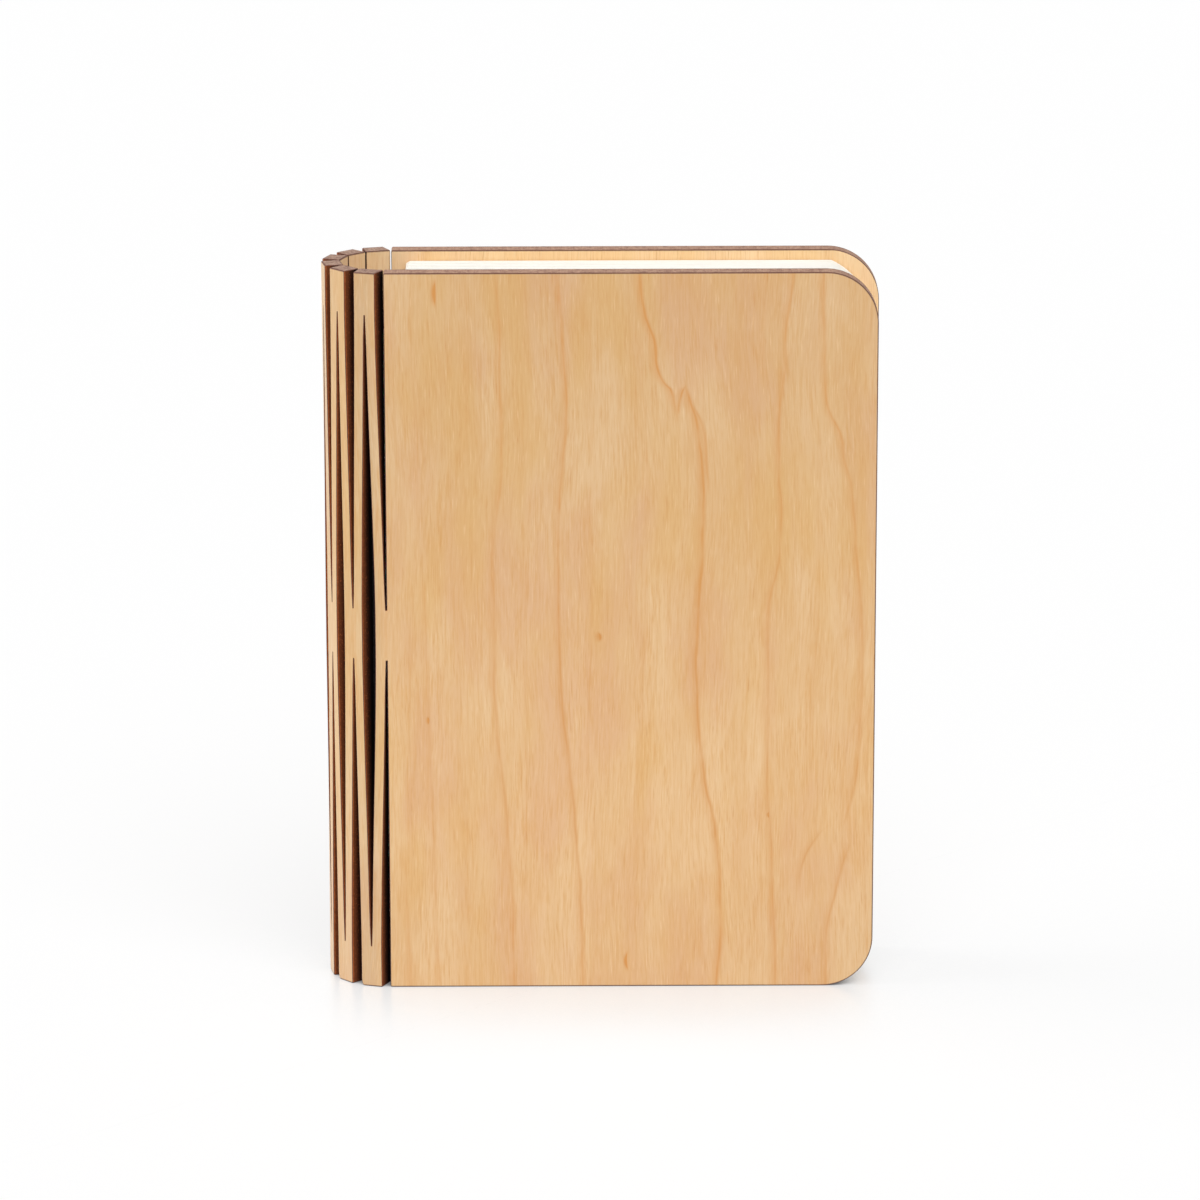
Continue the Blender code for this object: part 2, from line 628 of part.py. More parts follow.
def add_bar_shells() -> None:
    """Add the light bar's base, diffuser and caps, and the foam pad that holds it to the spine."""
    low, high = BAR_LOW + BAR_CAP + SEAT_GAP, BAR_HIGH - BAR_CAP - SEAT_GAP
    bm = bmesh.new()
    bar_prism(bm, half_shell(BAR_BACK_CHAMFER, 0, 1, BAR_PARTING_DEPTH), low, high)
    add_node("light_bar_base", bm, ROOT, "black_plastic")
    bm = bmesh.new()
    bar_prism(bm, half_shell(BAR_FRONT_CHAMFER, BAR_DEPTH, -1, BAR_PARTING_DEPTH + SEAT_GAP), low, high)
    add_node("diffuser", bm, ROOT, "frosted_cover")
    section = bar_side(0, BAR_BACK_CHAMFER, 0, 1) + bar_side(0, BAR_FRONT_CHAMFER, BAR_DEPTH, -1)[::-1]
    bm = bmesh.new()
    bar_prism(bm, section, BAR_HIGH - BAR_CAP, BAR_HIGH)
    add_node("top_cap", bm, ROOT, "black_plastic")
    bm = bmesh.new()
    bar_prism(bm, section, BAR_LOW, BAR_LOW + BAR_CAP)
    cap = add_node("bottom_cap", bm, ROOT, "black_plastic")
    reach = Vector((SEAT_GAP, SEAT_GAP, 0))
    bm = bmesh.new()
    box(bm, socket_corner(-1) - reach - Vector((0, 0, CUTTER_OVERRUN)), socket_corner(1) + reach)
    cut(cap, add_node("socket_hole", bm, ROOT, "black_plastic"))
    bm = bmesh.new()
    middle = PLY / 2 + SEAT_GAP + FOAM_PAD / 2
    low = (COVER_HEIGHT - FOAM_PAD_HEIGHT) / 2
    base = [ROOT.frame @ Vector((x * FOAM_PAD_WIDTH / 2, middle + y * FOAM_PAD / 2, low)) for x, y in SECTION]
    prism(bm, base, Vector((0, 0, FOAM_PAD_HEIGHT)))
    add_node("foam_pad", bm, ROOT, "foam")


def socket_corner(side: float) -> Vector:
    """The charging socket's lowest (-1) or highest (1) corner: it hangs behind the board."""
    front = BAR_BACK + BOARD_DEPTH - SEAT_GAP
    if side < 0:
        return Vector((front - SOCKET_THICKNESS, -SOCKET_WIDTH / 2, BAR_LOW))
    return Vector((front, SOCKET_WIDTH / 2, BAR_LOW + SOCKET_LENGTH))


def add_socket() -> None:
    """Add the charging socket: a steel shell with its mouth at the foot of the bar."""
    low, high = socket_corner(-1), socket_corner(1)
    wall = Vector((SOCKET_WALL, SOCKET_WALL, 0))
    bm = bmesh.new()
    box(bm, low, high)
    shell = add_node("charging_socket", bm, ROOT, "socket_steel")
    bm = bmesh.new()
    mouth = Vector((0, 0, CUTTER_OVERRUN))
    depth = Vector((high.x, high.y, low.z + SOCKET_POCKET))
    box(bm, low + wall - mouth, depth - wall)
    cut(shell, add_node("socket_mouth", bm, ROOT, "socket_steel"))


def add_board() -> None:
    """Add the circuit board and what is soldered to it, front and back."""
    back = BAR_BACK + BOARD_DEPTH
    front = back + BOARD
    half = BAR_WIDTH / 2 - BAR_WALL - SEAT_GAP
    bm = bmesh.new()
    box(bm, Vector((back, -half, BOARD_LOW)), Vector((front, half, BOARD_HIGH)))
    add_node("circuit_board", bm, ROOT, "circuit_board")
    add_led_strip(front + SEAT_GAP)
    for name, foot in (("charger_chip", CHARGER_CHIP_LOW), ("driver_chip", DRIVER_CHIP_LOW)):
        bm = bmesh.new()
        low = Vector((back - SEAT_GAP - CHIP_THICKNESS, -CHIP_SIDE / 2, foot))
        box(bm, low, low + Vector((CHIP_THICKNESS, CHIP_SIDE, CHIP_SIDE)))
        add_node(name, bm, ROOT, "chip_epoxy")
    bm = bmesh.new()
    low = Vector((back - SEAT_GAP - SENSOR_THICKNESS, SENSOR_EDGE - half, SENSOR_LOW))
    box(bm, low, low + Vector((SENSOR_THICKNESS, SENSOR_WIDTH, SENSOR_HEIGHT)))
    add_node("magnet_sensor", bm, ROOT, "chip_epoxy")


def add_led_strip(back: float) -> None:
    """Add the strip of lamps along the front of the board: a flat tape with a step for each."""
    tape, lamp = back + LED_TAPE, back + LED_TAPE + LED_THICKNESS
    outline = [(back, BOARD_HIGH), (back, BOARD_LOW), (tape, BOARD_LOW)]
    for number in range(LED_COUNT):
        z = BOARD_LOW + (number + 1 / 2) * LED_PITCH
        low, high = z - LED_LENGTH / 2, z + LED_LENGTH / 2
        outline += [(tape, low), (lamp, low), (lamp, high), (tape, high)]
    outline.append((tape, BOARD_HIGH))
    bm = bmesh.new()
    prism(bm, [Vector((x, -LED_WIDTH / 2, z)) for x, z in outline], Vector((0, LED_WIDTH, 0)))
    add_node("led_strip", bm, ROOT, "led_resin")


def add_battery() -> None:
    """Add the flat cell behind the board, and the two leads from its head to the board."""
    front = BAR_BACK + BOARD_DEPTH - SEAT_GAP
    bm = bmesh.new()
    box(bm, Vector((front - BATTERY_THICKNESS, -BATTERY_WIDTH / 2, BATTERY_LOW)),
        Vector((front, BATTERY_WIDTH / 2, BATTERY_HIGH)))
    bmesh.ops.bevel(bm, geom=bm.edges[:], offset=BATTERY_EDGE_ROUND, segments=2, affect="EDGES", profile=0.5)
    add_node("battery_cell", bm, ROOT, "battery_film")
    leave = front - BATTERY_THICKNESS / 2
    reach = front - LEAD_DIAMETER / 2
    leads = ((-1, "negative_lead", "black_insulation"), (1, "positive_lead", "red_insulation"))
    for side, name, finish in leads:
        curve = bpy.data.curves.new(name, "CURVE")
        curve.dimensions = "3D"
        curve.bevel_depth = LEAD_DIAMETER / 2
        curve.bevel_resolution = 2
        curve.use_fill_caps = True
        spline = curve.splines.new("POLY")
        spline.points.add(LEAD_STEPS)
        for step, point in enumerate(spline.points):
            share = step / LEAD_STEPS
            depth = leave + (reach - leave) * eased(share)
            point.co = (depth, side * LEAD_SPACING / 2, LEADS_LOW + LEAD_RISE * share, 1)
        curve.materials.append(material(finish))
        hang(bpy.data.objects.new(name, curve), ROOT)


def build() -> None:
    """Build the whole lamp, from the sheet inwards."""
    clear_scene()
    add_body(ROOT, None)
    for number in range(ROOT_NUMBER + 1, len(BLOCKS)):
        add_body(BLOCKS[number], BLOCKS[number - 1])
    for number in range(ROOT_NUMBER - 1, -1, -1):
        add_body(BLOCKS[number], BLOCKS[number + 1])
    add_cover("front_cover", FRONT, 1, with_switch=True)
    add_cover("back_cover", BACK, -1, with_switch=False)
    add_switch_magnet()
    for number in range(1, SLAT_COUNT + 1):
        add_slat(number)
    for number in range(1, len(FOLDS) + 1):
        add_flexure(number)
    add_pages()
    add_bar_shells()
    add_socket()
    add_board()
    add_battery()


build()
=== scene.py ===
"""Looks of the folding book lamp.

One sheet of plywood makes both covers and the lattice hinge between them. Inside are one sheet
of pleated paper and a slim light bar. Metres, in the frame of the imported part.
"""

import json
import logging
import math
from dataclasses import dataclass, field, replace
from enum import Enum
from functools import reduce
from typing import Any, Callable, Sequence

import bmesh
import bpy
from mathutils import Matrix, Vector

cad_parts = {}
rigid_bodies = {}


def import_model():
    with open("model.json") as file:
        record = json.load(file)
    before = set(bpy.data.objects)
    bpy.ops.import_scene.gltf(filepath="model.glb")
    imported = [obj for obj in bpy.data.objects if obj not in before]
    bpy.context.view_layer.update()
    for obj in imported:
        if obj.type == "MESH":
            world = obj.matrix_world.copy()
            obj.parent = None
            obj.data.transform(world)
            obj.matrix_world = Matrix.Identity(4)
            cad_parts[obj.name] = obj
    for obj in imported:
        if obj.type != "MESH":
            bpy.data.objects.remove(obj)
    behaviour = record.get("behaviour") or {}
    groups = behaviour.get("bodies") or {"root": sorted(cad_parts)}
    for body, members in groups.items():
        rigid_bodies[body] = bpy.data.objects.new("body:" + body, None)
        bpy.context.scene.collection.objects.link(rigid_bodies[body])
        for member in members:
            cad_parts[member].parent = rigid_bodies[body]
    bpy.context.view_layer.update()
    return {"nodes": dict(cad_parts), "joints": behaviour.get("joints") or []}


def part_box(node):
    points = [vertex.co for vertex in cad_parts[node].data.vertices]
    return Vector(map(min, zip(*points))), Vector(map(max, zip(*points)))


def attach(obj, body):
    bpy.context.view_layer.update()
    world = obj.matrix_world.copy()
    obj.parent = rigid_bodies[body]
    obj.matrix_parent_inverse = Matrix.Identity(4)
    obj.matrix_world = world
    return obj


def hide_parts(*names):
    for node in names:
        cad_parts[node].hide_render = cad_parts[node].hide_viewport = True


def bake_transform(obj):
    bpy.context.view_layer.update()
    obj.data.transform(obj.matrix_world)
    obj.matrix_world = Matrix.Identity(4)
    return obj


MM = 0.001
SHEET_PLACE = "sheet"
ACROSS, INTO, UP = Vector((1, 0, 0)), Vector((0, 1, 0)), Vector((0, 0, 1))

HEIGHT = 122.0 * MM
COVER_WIDTH = 80.5 * MM
PLY = 3.1 * MM
FORE_RADIUS = 8.5 * MM
SLATS = 6
STRIP = 1.65 * MM
KERF = 0.3 * MM
SLIT = 0.966 * MM
BACK_EDGE = -((SLATS + 1) * SLIT + SLATS * (2 * STRIP + KERF))

LINE_CORE = 1.5
LINE_HALO = 4.5
LINE_SHARP_SIDE = 2.0
LINE_OVERRUN = 0.3
SHIFT_SHARES = (1.0, 1.7, 0.6)

Colour = tuple[float, float, float]
Size = tuple[float, float, float]
Span = tuple[float, float]
Tint = tuple[float, float, float, float]
Number = Any
Ring = list[Vector]
Plan = list[Span]
Piece = bpy.types.Object
Material = bpy.types.Material

log = logging.getLogger("book_lamp")


def linear(colour: Colour) -> Tint:
    """A screen colour, each channel 0 to 255, as the linear colour that a shader takes."""
    channels = [channel / 255 for channel in colour]
    parts = [c / 12.92 if c <= 0.04045 else ((c + 0.055) / 1.055) ** 2.4 for c in channels]
    return (parts[0], parts[1], parts[2], 1.0)


def eased(share: float) -> float:
    """A share of a move that starts and stops gently."""
    return share * share * (3 - 2 * share)


def mm(*numbers: float) -> Vector:
    """A vector given in millimetres."""
    return Vector([number * MM for number in numbers])


def steps_between(start: float, stop: float, steps: int) -> list[float]:
    """Evenly spaced numbers from one to just before another."""
    return [start + (stop - start) * step / steps for step in range(steps)]


class Nodes:
    """A node tree, with short calls that add and join its nodes."""

    def __init__(self, tree: bpy.types.NodeTree) -> None:
        """Keep the tree."""
        self.tree = tree

    def add(self, kind: str, inputs: dict[int | str, Number] | None = None,
            **settings: Any) -> bpy.types.Node:
        """Add a node.

        Args:
            kind: the node's type.
            inputs: what each input takes, a socket or a value.
            settings: the node's own settings.

        Returns:
            The node.
        """
        node = self.tree.nodes.new(kind)
        for name, value in settings.items():
            setattr(node, name, value)
        for key, value in (inputs or {}).items():
            self.feed(node.inputs[key], value)
        return node

    def feed(self, socket: bpy.types.NodeSocket, value: Number) -> None:
        """Join a value to an input, or set the input to a plain number."""
        if isinstance(value, Value):
            self.tree.links.new(value.socket, socket)
        else:
            socket.default_value = value

    def value(self, kind: str, inputs: dict[int | str, Number] | None = None,
              output: int | str = 0, **settings: Any) -> "Value":
        """Add a node and take one of its outputs."""
        return Value(self, self.add(kind, inputs, **settings).outputs[output])

    def sums(self, operation: str, *numbers: Number) -> "Value":
        """One sum on up to three numbers."""
        return self.value("ShaderNodeMath", dict(enumerate(numbers)), operation=operation)


def sum_method(operation: str, turned: bool = False) -> Callable[..., "Value"]:
    """A method that adds one sum's node to a value's tree, with its numbers turned if need be."""

    def method(this: "Value", *others: Number) -> "Value":
        """The sum of this and the others."""
        numbers = (this, *others)
        return this.nodes.sums(operation, *(numbers[::-1] if turned else numbers))

    return method


@dataclass(frozen=True)
class Value:
    """An output in a node tree, which can be summed as a plain number can."""

    nodes: Nodes
    socket: bpy.types.NodeSocket

    __add__, __mul__ = sum_method("ADD"), sum_method("MULTIPLY")
    __sub__, __rsub__ = sum_method("SUBTRACT"), sum_method("SUBTRACT", turned=True)
    __truediv__, __pow__ = sum_method("DIVIDE"), sum_method("POWER")
    __abs__, at_least = sum_method("ABSOLUTE"), sum_method("MAXIMUM")


class Shade(Nodes):
    """One procedural material."""

    def __init__(self, name: str) -> None:
        """Start a material with a name."""
        self.material = bpy.data.materials.new(name)
        self.material.use_nodes = True
        super().__init__(self.material.node_tree)
        self.surface = self.tree.nodes["Principled BSDF"]

    def set(self, **values: Number) -> None:
        """Set or join inputs of the surface shader; an underscore stands for a space."""
        for name, value in values.items():
            self.feed(self.surface.inputs[name.replace("_", " ")], value)

    def place(self) -> Value:
        """Where a point is on its piece, in metres."""
        return self.value("ShaderNodeTexCoord", output="Object")

    def sheet_place(self) -> Value:
        """Where a point of the plywood lies when the sheet is flat, in metres."""
        return self.value("ShaderNodeAttribute", output="Vector", attribute_name=SHEET_PLACE)

    def axes(self, vector: Value) -> list[Value]:
        """The three numbers of a vector."""
        node = self.add("ShaderNodeSeparateXYZ", {0: vector})
        return [Value(self, output) for output in node.outputs]

    def join(self, x: Number, y: Number, z: Number) -> Value:
        """A vector from three numbers."""
        return self.value("ShaderNodeCombineXYZ", {0: x, 1: y, 2: z})

    def ramp(self, value: Number, low: float, high: float, start: float = 0.0,
             stop: float = 1.0) -> Value:
        """A number carried smoothly from one span to another and kept inside it.

        Args:
            value: the number.
            low: where the span starts.
            high: where it stops.
            start: what low becomes.
            stop: what high becomes.

        Returns:
            The new number.
        """
        inputs = dict(enumerate((value, low, high, start, stop)))
        return self.value("ShaderNodeMapRange", inputs, interpolation_type="SMOOTHSTEP")

    def blend(self, share: Number, first: Any, second: Any, mode: str = "MIX") -> Value:
        """Two colours mixed by a share, each of them a value or a screen colour."""
        first, second = (linear(one) if isinstance(one, tuple) else one for one in (first, second))
        return self.value("ShaderNodeMix", {0: share, 6: first, 7: second}, 2, data_type="RGBA",
                          blend_type=mode)

    def toned(self, colour: Any, tone: Value) -> Value:
        """A colour multiplied by a grey."""
        return self.blend(1.0, colour, self.join(tone, tone, tone), "MULTIPLY")

    def curve(self, value: Number, points: Sequence[tuple[float, float]]) -> Value:
        """A number read off a smooth curve through points, all from 0 to 1."""
        node = self.add("ShaderNodeFloatCurve", {1: value})
        line = node.mapping.curves[0]
        ordered = sorted(points)
        line.points[0].location, line.points[-1].location = ordered[0], ordered[-1]
        for point in ordered[1:-1]:
            line.points.new(*point)
        node.mapping.update()
        return Value(self, node.outputs[0])

    def bump(self, height: Value, depth: float, strength: float) -> None:
        """Raise the surface by a height of 0 to 1 times a depth in metres."""
        inputs = {"Height": height, "Distance": depth, "Strength": strength}
        self.set(Normal=self.value("ShaderNodeBump", inputs))


@dataclass(frozen=True)
class Pattern:
    """Smooth noise from 0 to 1, with blobs of a size in millimetres along each axis."""

    size: Size
    shift: float = 0.0
    detail: float = 2.0
    roughness: float = 0.5
    distortion: float = 0.0

    def on(self, shade: Shade, place: Value, seed: float = 0.0) -> Value:
        """The noise at a place.

        Args:
            shade: the material.
            place: the place, in metres.
            seed: moves the pattern, so that pieces differ.

        Returns:
            A number from 0 to 1.
        """
        factors = [1 / (size * MM) for size in self.size]
        shifts = [(self.shift + seed) * share for share in SHIFT_SHARES]
        vector = shade.value("ShaderNodeVectorMath", {0: place, 1: factors, 2: shifts},
                             operation="MULTIPLY_ADD")
        return shade.value("ShaderNodeTexNoise", {
            "Vector": vector, "Scale": 1.0, "Detail": self.detail, "Roughness": self.roughness,
            "Distortion": self.distortion})


@dataclass(frozen=True)
class GrowthLine:
    """One line of late wood in a veneer, as points (across, up) in millimetres."""

    points: tuple[tuple[float, float], ...]
    strength: float
    width: float = 0.3
    taper: float = 3.0

    def mask(self, shade: Shade, across: Value, up: Value) -> Value:
        """How much of the line's colour each point of a cover takes.

        Args:
            shade: the material.
            across: place across the veneer, in metres.
            up: height above the foot, in metres.

        Returns:
            A number from 0 to the line's strength.
        """
        spots = [(z * MM / HEIGHT, x * MM / COVER_WIDTH) for x, z in self.points]
        off = across - shade.curve(up / HEIGHT, spots) * COVER_WIDTH
        width = self.width * MM
        core = shade.ramp(abs(off), 0.0, width * LINE_CORE, 0.85, 0.0)
        halo = shade.ramp(off, -width * LINE_HALO, 0.0, 0.0, 0.5)
        body = core.at_least(halo * shade.ramp(off, 0.0, width * LINE_SHARP_SIDE, 1.0, 0.0))
        low, high = (end(z for _, z in self.points) * MM for end in (min, max))
        taper = min(self.taper * MM, (high - low) / 2)
        begin = shade.ramp(up, low - LINE_OVERRUN * taper, low + taper)
        end = shade.ramp(up, high - taper, high + LINE_OVERRUN * taper, 1.0, 0.0)
        return body * (begin * end) * self.strength


FRONT_LINES = (
    GrowthLine(((18.4, 122), (18.7, 106.7), (18.9, 88), (17.5, 74.4), (17.7, 62.5), (17.9, 45.5),
                (19.3, 32.8), (20.1, 20.1), (20.8, -2)), 0.36),
    GrowthLine(((28.2, 122), (29.1, 111), (29.6, 99.9), (28.6, 86.3), (28.2, 74.4), (28.3, 57.4),
                (29.6, 41.3), (31.2, 24.3), (32.2, -2)), 0.46),
    GrowthLine(((41.5, 124), (41.6, 121.8), (42.6, 114.8), (43.9, 110.7), (44.4, 106.3),
                (45.7, 103.6), (46.8, 102.5), (47.4, 99.8), (47.8, 97.3)), 0.6, 0.35),
    GrowthLine(((49.3, 103.3), (48.7, 102.2), (48.2, 100.4), (47.9, 98.2)), 0.55, 0.3, 1.0),
    GrowthLine(((48.7, 103.4), (49.3, 102.6), (50.1, 100.3), (50.9, 97.1), (51.3, 93.2),
                (51.6, 90.5), (52.0, 85.5), (51.9, 74.4), (51.1, 62.5), (50.9, 51.5), (52.3, 37),
                (54.3, 26), (55.1, 15.8), (54.3, -2)), 0.55, 0.35),
    GrowthLine(((49.4, 102.4), (50.2, 100.3), (51.9, 96), (52.4, 90.6), (52.9, 84.9)), 0.4),
    GrowthLine(((66.5, 124), (66.5, 121.9), (65.9, 117), (65.3, 111.8), (65.2, 106.3),
                (64.6, 101.4), (64.3, 96.5), (64.4, 90.5), (64.8, 81.2), (64.4, 72.7), (63, 66.8),
                (62.8, 54), (62.8, 37), (63.6, 21.7), (64.4, -2)), 0.4),
    GrowthLine(((71.5, 124), (71.9, 104), (72.2, 100.3), (72.8, 98.2), (73.8, 96.3), (74.6, 94.3),
                (75.2, 90.5), (76, 87.8), (77.3, 74.4), (78.2, 60.8), (78.1, 45.5), (76.9, 33.6),
                (75.3, 27.7)), 0.4),
    GrowthLine(((72.4, 27.6), (71.2, 26.4), (68.8, 21.7), (68, 16.7)), 0.4),
    GrowthLine(((76.5, 25.1), (74.5, 17.5), (72.9, 9.9), (72.9, -2)), 0.38),
    GrowthLine(((6, 71), (6.8, 45.5), (8.1, -2)), 0.22),
    GrowthLine(((2.4, 24.3), (3.6, -2)), 0.2),
    GrowthLine(((8.4, 121.0), (8.3, 119), (8.35, 116.4)), 1.4, 0.2),
    GrowthLine(((34.7, 61.6), (35.1, 60.6), (34.9, 59.8)), 1.2, 0.28),
    GrowthLine(((39.7, 6.0), (39.5, 4.6), (39.7, 2.8)), 1.5, 0.16),
    GrowthLine(((6.6, 47.2), (6.7, 46.4), (6.6, 45.6)), 1.2, 0.14),
    GrowthLine(((63.1, 30.6), (63.0, 29.8), (63.1, 29.2)), 1.2, 0.14),
)

BACK_LINES = (
    GrowthLine(((62.5, 124), (61.6, 96), (62.9, 71), (61.8, 44), (59.5, -2)), 0.3),
    GrowthLine(((40.2, 124), (38.8, 104), (35.4, 88), (34.9, 62), (36.2, 30), (33.6, -2)), 0.5,
               0.35),
    GrowthLine(((33.2, 86), (31.8, 74), (31.3, 52), (32.6, 22), (31.4, -2)), 0.4),
    GrowthLine(((14.8, 124), (16.6, 92), (15.4, 60), (17.8, 24), (16.9, -2)), 0.35),
    GrowthLine(((6.4, 96), (4.9, 70), (5.2, 38), (8.4, 12)), 0.35),
    GrowthLine(((72.8, 52), (73.9, 30), (73.2, -2)), 0.25),
)


@dataclass(frozen=True)
class Veneer:
    """The face of the plywood: pale, with soft clouds, upright fibres, pores and growth lines, and
    painted shade towards the head.

    A mirrored veneer starts at the back cover's spine edge. A cool cast of painted light can lie
    over the spine, fading out near both covers.
    """

    name: str
    seed: float = 0.0
    lines: tuple[GrowthLine, ...] = ()
    mirrored: bool = False
    pale: Colour = (227, 190, 143)
    warm: Colour = (222, 181, 130)
    dusky: Colour = (217, 169, 127)
    golden: Colour = (220, 174, 108)
    amber: Colour = (213, 157, 88)
    late: Colour = (207, 143, 72)
    pore: Colour = (203, 144, 84)
    fleck: Colour = (234, 203, 160)
    scorch: Colour = (100, 66, 52)
    white: Colour = (255, 255, 255)
    # A cool cast of painted light over the spine, and how far from each cover it fades out.
    tint: Colour | None = None
    tint_fade: float = 2.4 * MM
    # How much painted shade darkens the head, how much darker the foot is, and where both fade out.
    head_tone: float = 0.915
    foot_tone: float = 0.955
    tone_level: float = 0.25 * HEIGHT
    sway: float = 5.0 * MM
    ring_pitch: float = 9.5 * MM
    line_wobble: float = 0.9 * MM
    broad_share: float = 0.45
    gold_rise: float = 0.16
    gold_drop: float = 0.09
    burn: Span = (0.04 * MM, 0.24 * MM)
    burn_waver: float = 0.08 * MM
    swaying: Pattern = Pattern((24, 9, 60))
    broad: Pattern = Pattern((4.5, 6, 90), 3)
    cloud: Pattern = Pattern((12, 9, 24), 8, 3.0)
    dusk: Pattern = Pattern((9, 9, 26), 31)
    gold: Pattern = Pattern((7, 9, 32), 40)
    fine: Pattern = Pattern((0.6, 3, 30), 5, 3.0, 0.7)
    hair: Pattern = Pattern((0.24, 2, 5), 26, 2.0, 0.75)
    patches: Pattern = Pattern((3, 6, 14), 14)
    pores: Pattern = Pattern((0.19, 1, 3.8), 11, 2.0, 0.6)
    wobbling: Pattern = Pattern((6, 9, 9), 17)
    fading: Pattern = Pattern((3, 9, 7), 20)

    def to_edge(self, shade: Shade, across: Value, up: Value) -> Value:
        """How far a point is from the sheet's foot, head or rounded fore-edge."""
        half = HEIGHT / 2
        past = across - (COVER_WIDTH - FORE_RADIUS)
        beyond = abs(up - half) - (half - FORE_RADIUS)
        squares = past.at_least(0.0) ** 2.0 + beyond.at_least(0.0) ** 2.0
        return FORE_RADIUS - shade.sums("SQRT", squares)

    def make(self) -> Material:
        """Build the material."""
        shade = Shade(self.name)
        place = shade.sheet_place()
        across, depth, up = shade.axes(place)
        from_edge = BACK_EDGE - across if self.mirrored else across
        swayed = self.swaying.on(shade, place, self.seed) * self.sway + across
        grain = shade.join(swayed, depth, up)
        broad, dusk, gold, fine, hair, patches, pores = (
            pattern.on(shade, grain, self.seed) for pattern in (
                self.broad, self.dusk, self.gold, self.fine, self.hair, self.patches, self.pores))

        cloud = self.cloud.on(shade, place, self.seed)
        clouds = broad * self.broad_share + cloud * (1 - self.broad_share)
        colour = shade.blend(shade.ramp(clouds, 0.38, 0.6), self.pale, self.warm)
        colour = shade.blend(shade.ramp(dusk, 0.45, 0.7, 0.0, 0.6), colour, self.dusky)
        golder_up = up / HEIGHT * self.gold_rise + (gold - self.gold_drop)
        colour = shade.blend(shade.ramp(golder_up, 0.45, 0.72, 0.0, 0.6), colour, self.golden)
        streak = shade.ramp(fine, 0.45, 0.75, 0.0, 0.13) + shade.ramp(hair, 0.4, 0.72, 0.0, 0.5)
        streak = streak * shade.ramp(patches, 0.3, 0.7, 0.75, 1.2)
        colour = shade.blend(streak, colour, self.amber)
        # Painted shade: darker towards the head; also slightly darker at the foot.
        by_head = shade.ramp(up, self.tone_level, HEIGHT, 1.0, self.head_tone)
        by_foot = shade.ramp(up, 0.0, self.tone_level, self.foot_tone, 1.0)
        colour = shade.toned(colour, by_head * by_foot)
        # Painted light: a cool cast over the spine, for the white light that grazes its slats.
        if self.tint:
            by_front = shade.ramp(across, -self.tint_fade, 0.0)
            by_back = shade.ramp(across, BACK_EDGE, BACK_EDGE + self.tint_fade, 1.0, 0.0)
            tint = shade.blend(by_front.at_least(by_back), self.tint, self.white)
            colour = shade.blend(1.0, colour, tint, "MULTIPLY")

        dark = shade.ramp(pores, 0.55, 0.78) * shade.ramp(patches, 0.35, 0.7, 0.3, 0.8)
        colour = shade.blend(dark, colour, self.pore)
        colour = shade.blend(shade.ramp(pores, 0.45, 0.2, 0.0, 0.5), colour, self.fleck)
        rings = shade.sums("FRACT", (broad * self.sway + swayed) / self.ring_pitch)
        ring = rings ** 9.0 * shade.ramp(patches, 0.35, 0.65, 0.03, 0.2)
        colour = shade.blend(ring, colour, self.late)
        if self.lines:
            wobble = self.wobbling.on(shade, place, self.seed) * self.line_wobble
            bent = wobble + (from_edge - self.line_wobble / 2)
            drawn = reduce(Value.at_least, [line.mask(shade, bent, up) for line in self.lines])
            fading = self.fading.on(shade, place, self.seed)
            faded = drawn * shade.ramp(fading, 0.25, 0.6, 0.85, 1.75)
            colour = shade.blend(faded, colour, self.late)

        burn = fine * -self.burn_waver + self.to_edge(shade, from_edge, up)
        colour = shade.blend(shade.ramp(burn, *self.burn, 0.9, 0.0), colour, self.scorch)
        shade.set(Base_Color=colour, Roughness=shade.ramp(pores, 0.2, 0.8, 0.42, 0.54),
                  Specular_IOR_Level=0.5, Sheen_Weight=0.22, Sheen_Roughness=0.45)
        shade.bump(pores + fine, 0.006 * MM, 0.5)
        return shade.material


@dataclass(frozen=True)
class LaserCut:
    """A laser-cut wall of the plywood: scorched, mottled, with the plies showing faintly."""

    name: str
    light: Colour
    dark: Colour
    scorch: Colour
    mottle: float = 0.8
    scorch_reach: float = 0.3 * MM
    seed: float = 0.0
    streaks: Pattern = Pattern((0.25, 4, 0.25), 4)
    waves: Pattern = Pattern((2.5, 9, 2.5), 7)
    glue_width: float = 0.14 * MM
    waver: float = 0.5 * MM

    def make(self) -> Material:
        """Build the material."""
        shade = Shade(self.name)
        place = shade.sheet_place()
        _, depth, _ = shade.axes(place)
        blotch = Pattern((self.mottle,) * 3, 0, 4.0, 0.65, 0.8).on(shade, place, self.seed)
        streak = self.streaks.on(shade, place, self.seed)
        mix = shade.ramp(blotch, 0.38, 0.66) * 0.7 + shade.ramp(streak, 0.3, 0.7, 0.0, 0.3)
        colour = shade.blend(mix, self.light, self.dark)
        level = abs((self.waves.on(shade, place, self.seed) - 0.5) * self.waver + depth)
        glue = shade.ramp(abs(level - PLY / 4), 0.0, self.glue_width, 0.35, 0.0)
        colour = shade.blend(glue, colour, self.dark)
        rim = shade.ramp(level, PLY / 2 - self.scorch_reach, PLY / 2, 0.0, 0.85)
        colour = shade.blend(rim, colour, self.scorch)
        shade.set(Base_Color=colour, Roughness=0.7, Specular_IOR_Level=0.2)
        shade.bump(blotch + streak, 0.03 * MM, 0.6)
        return shade.material


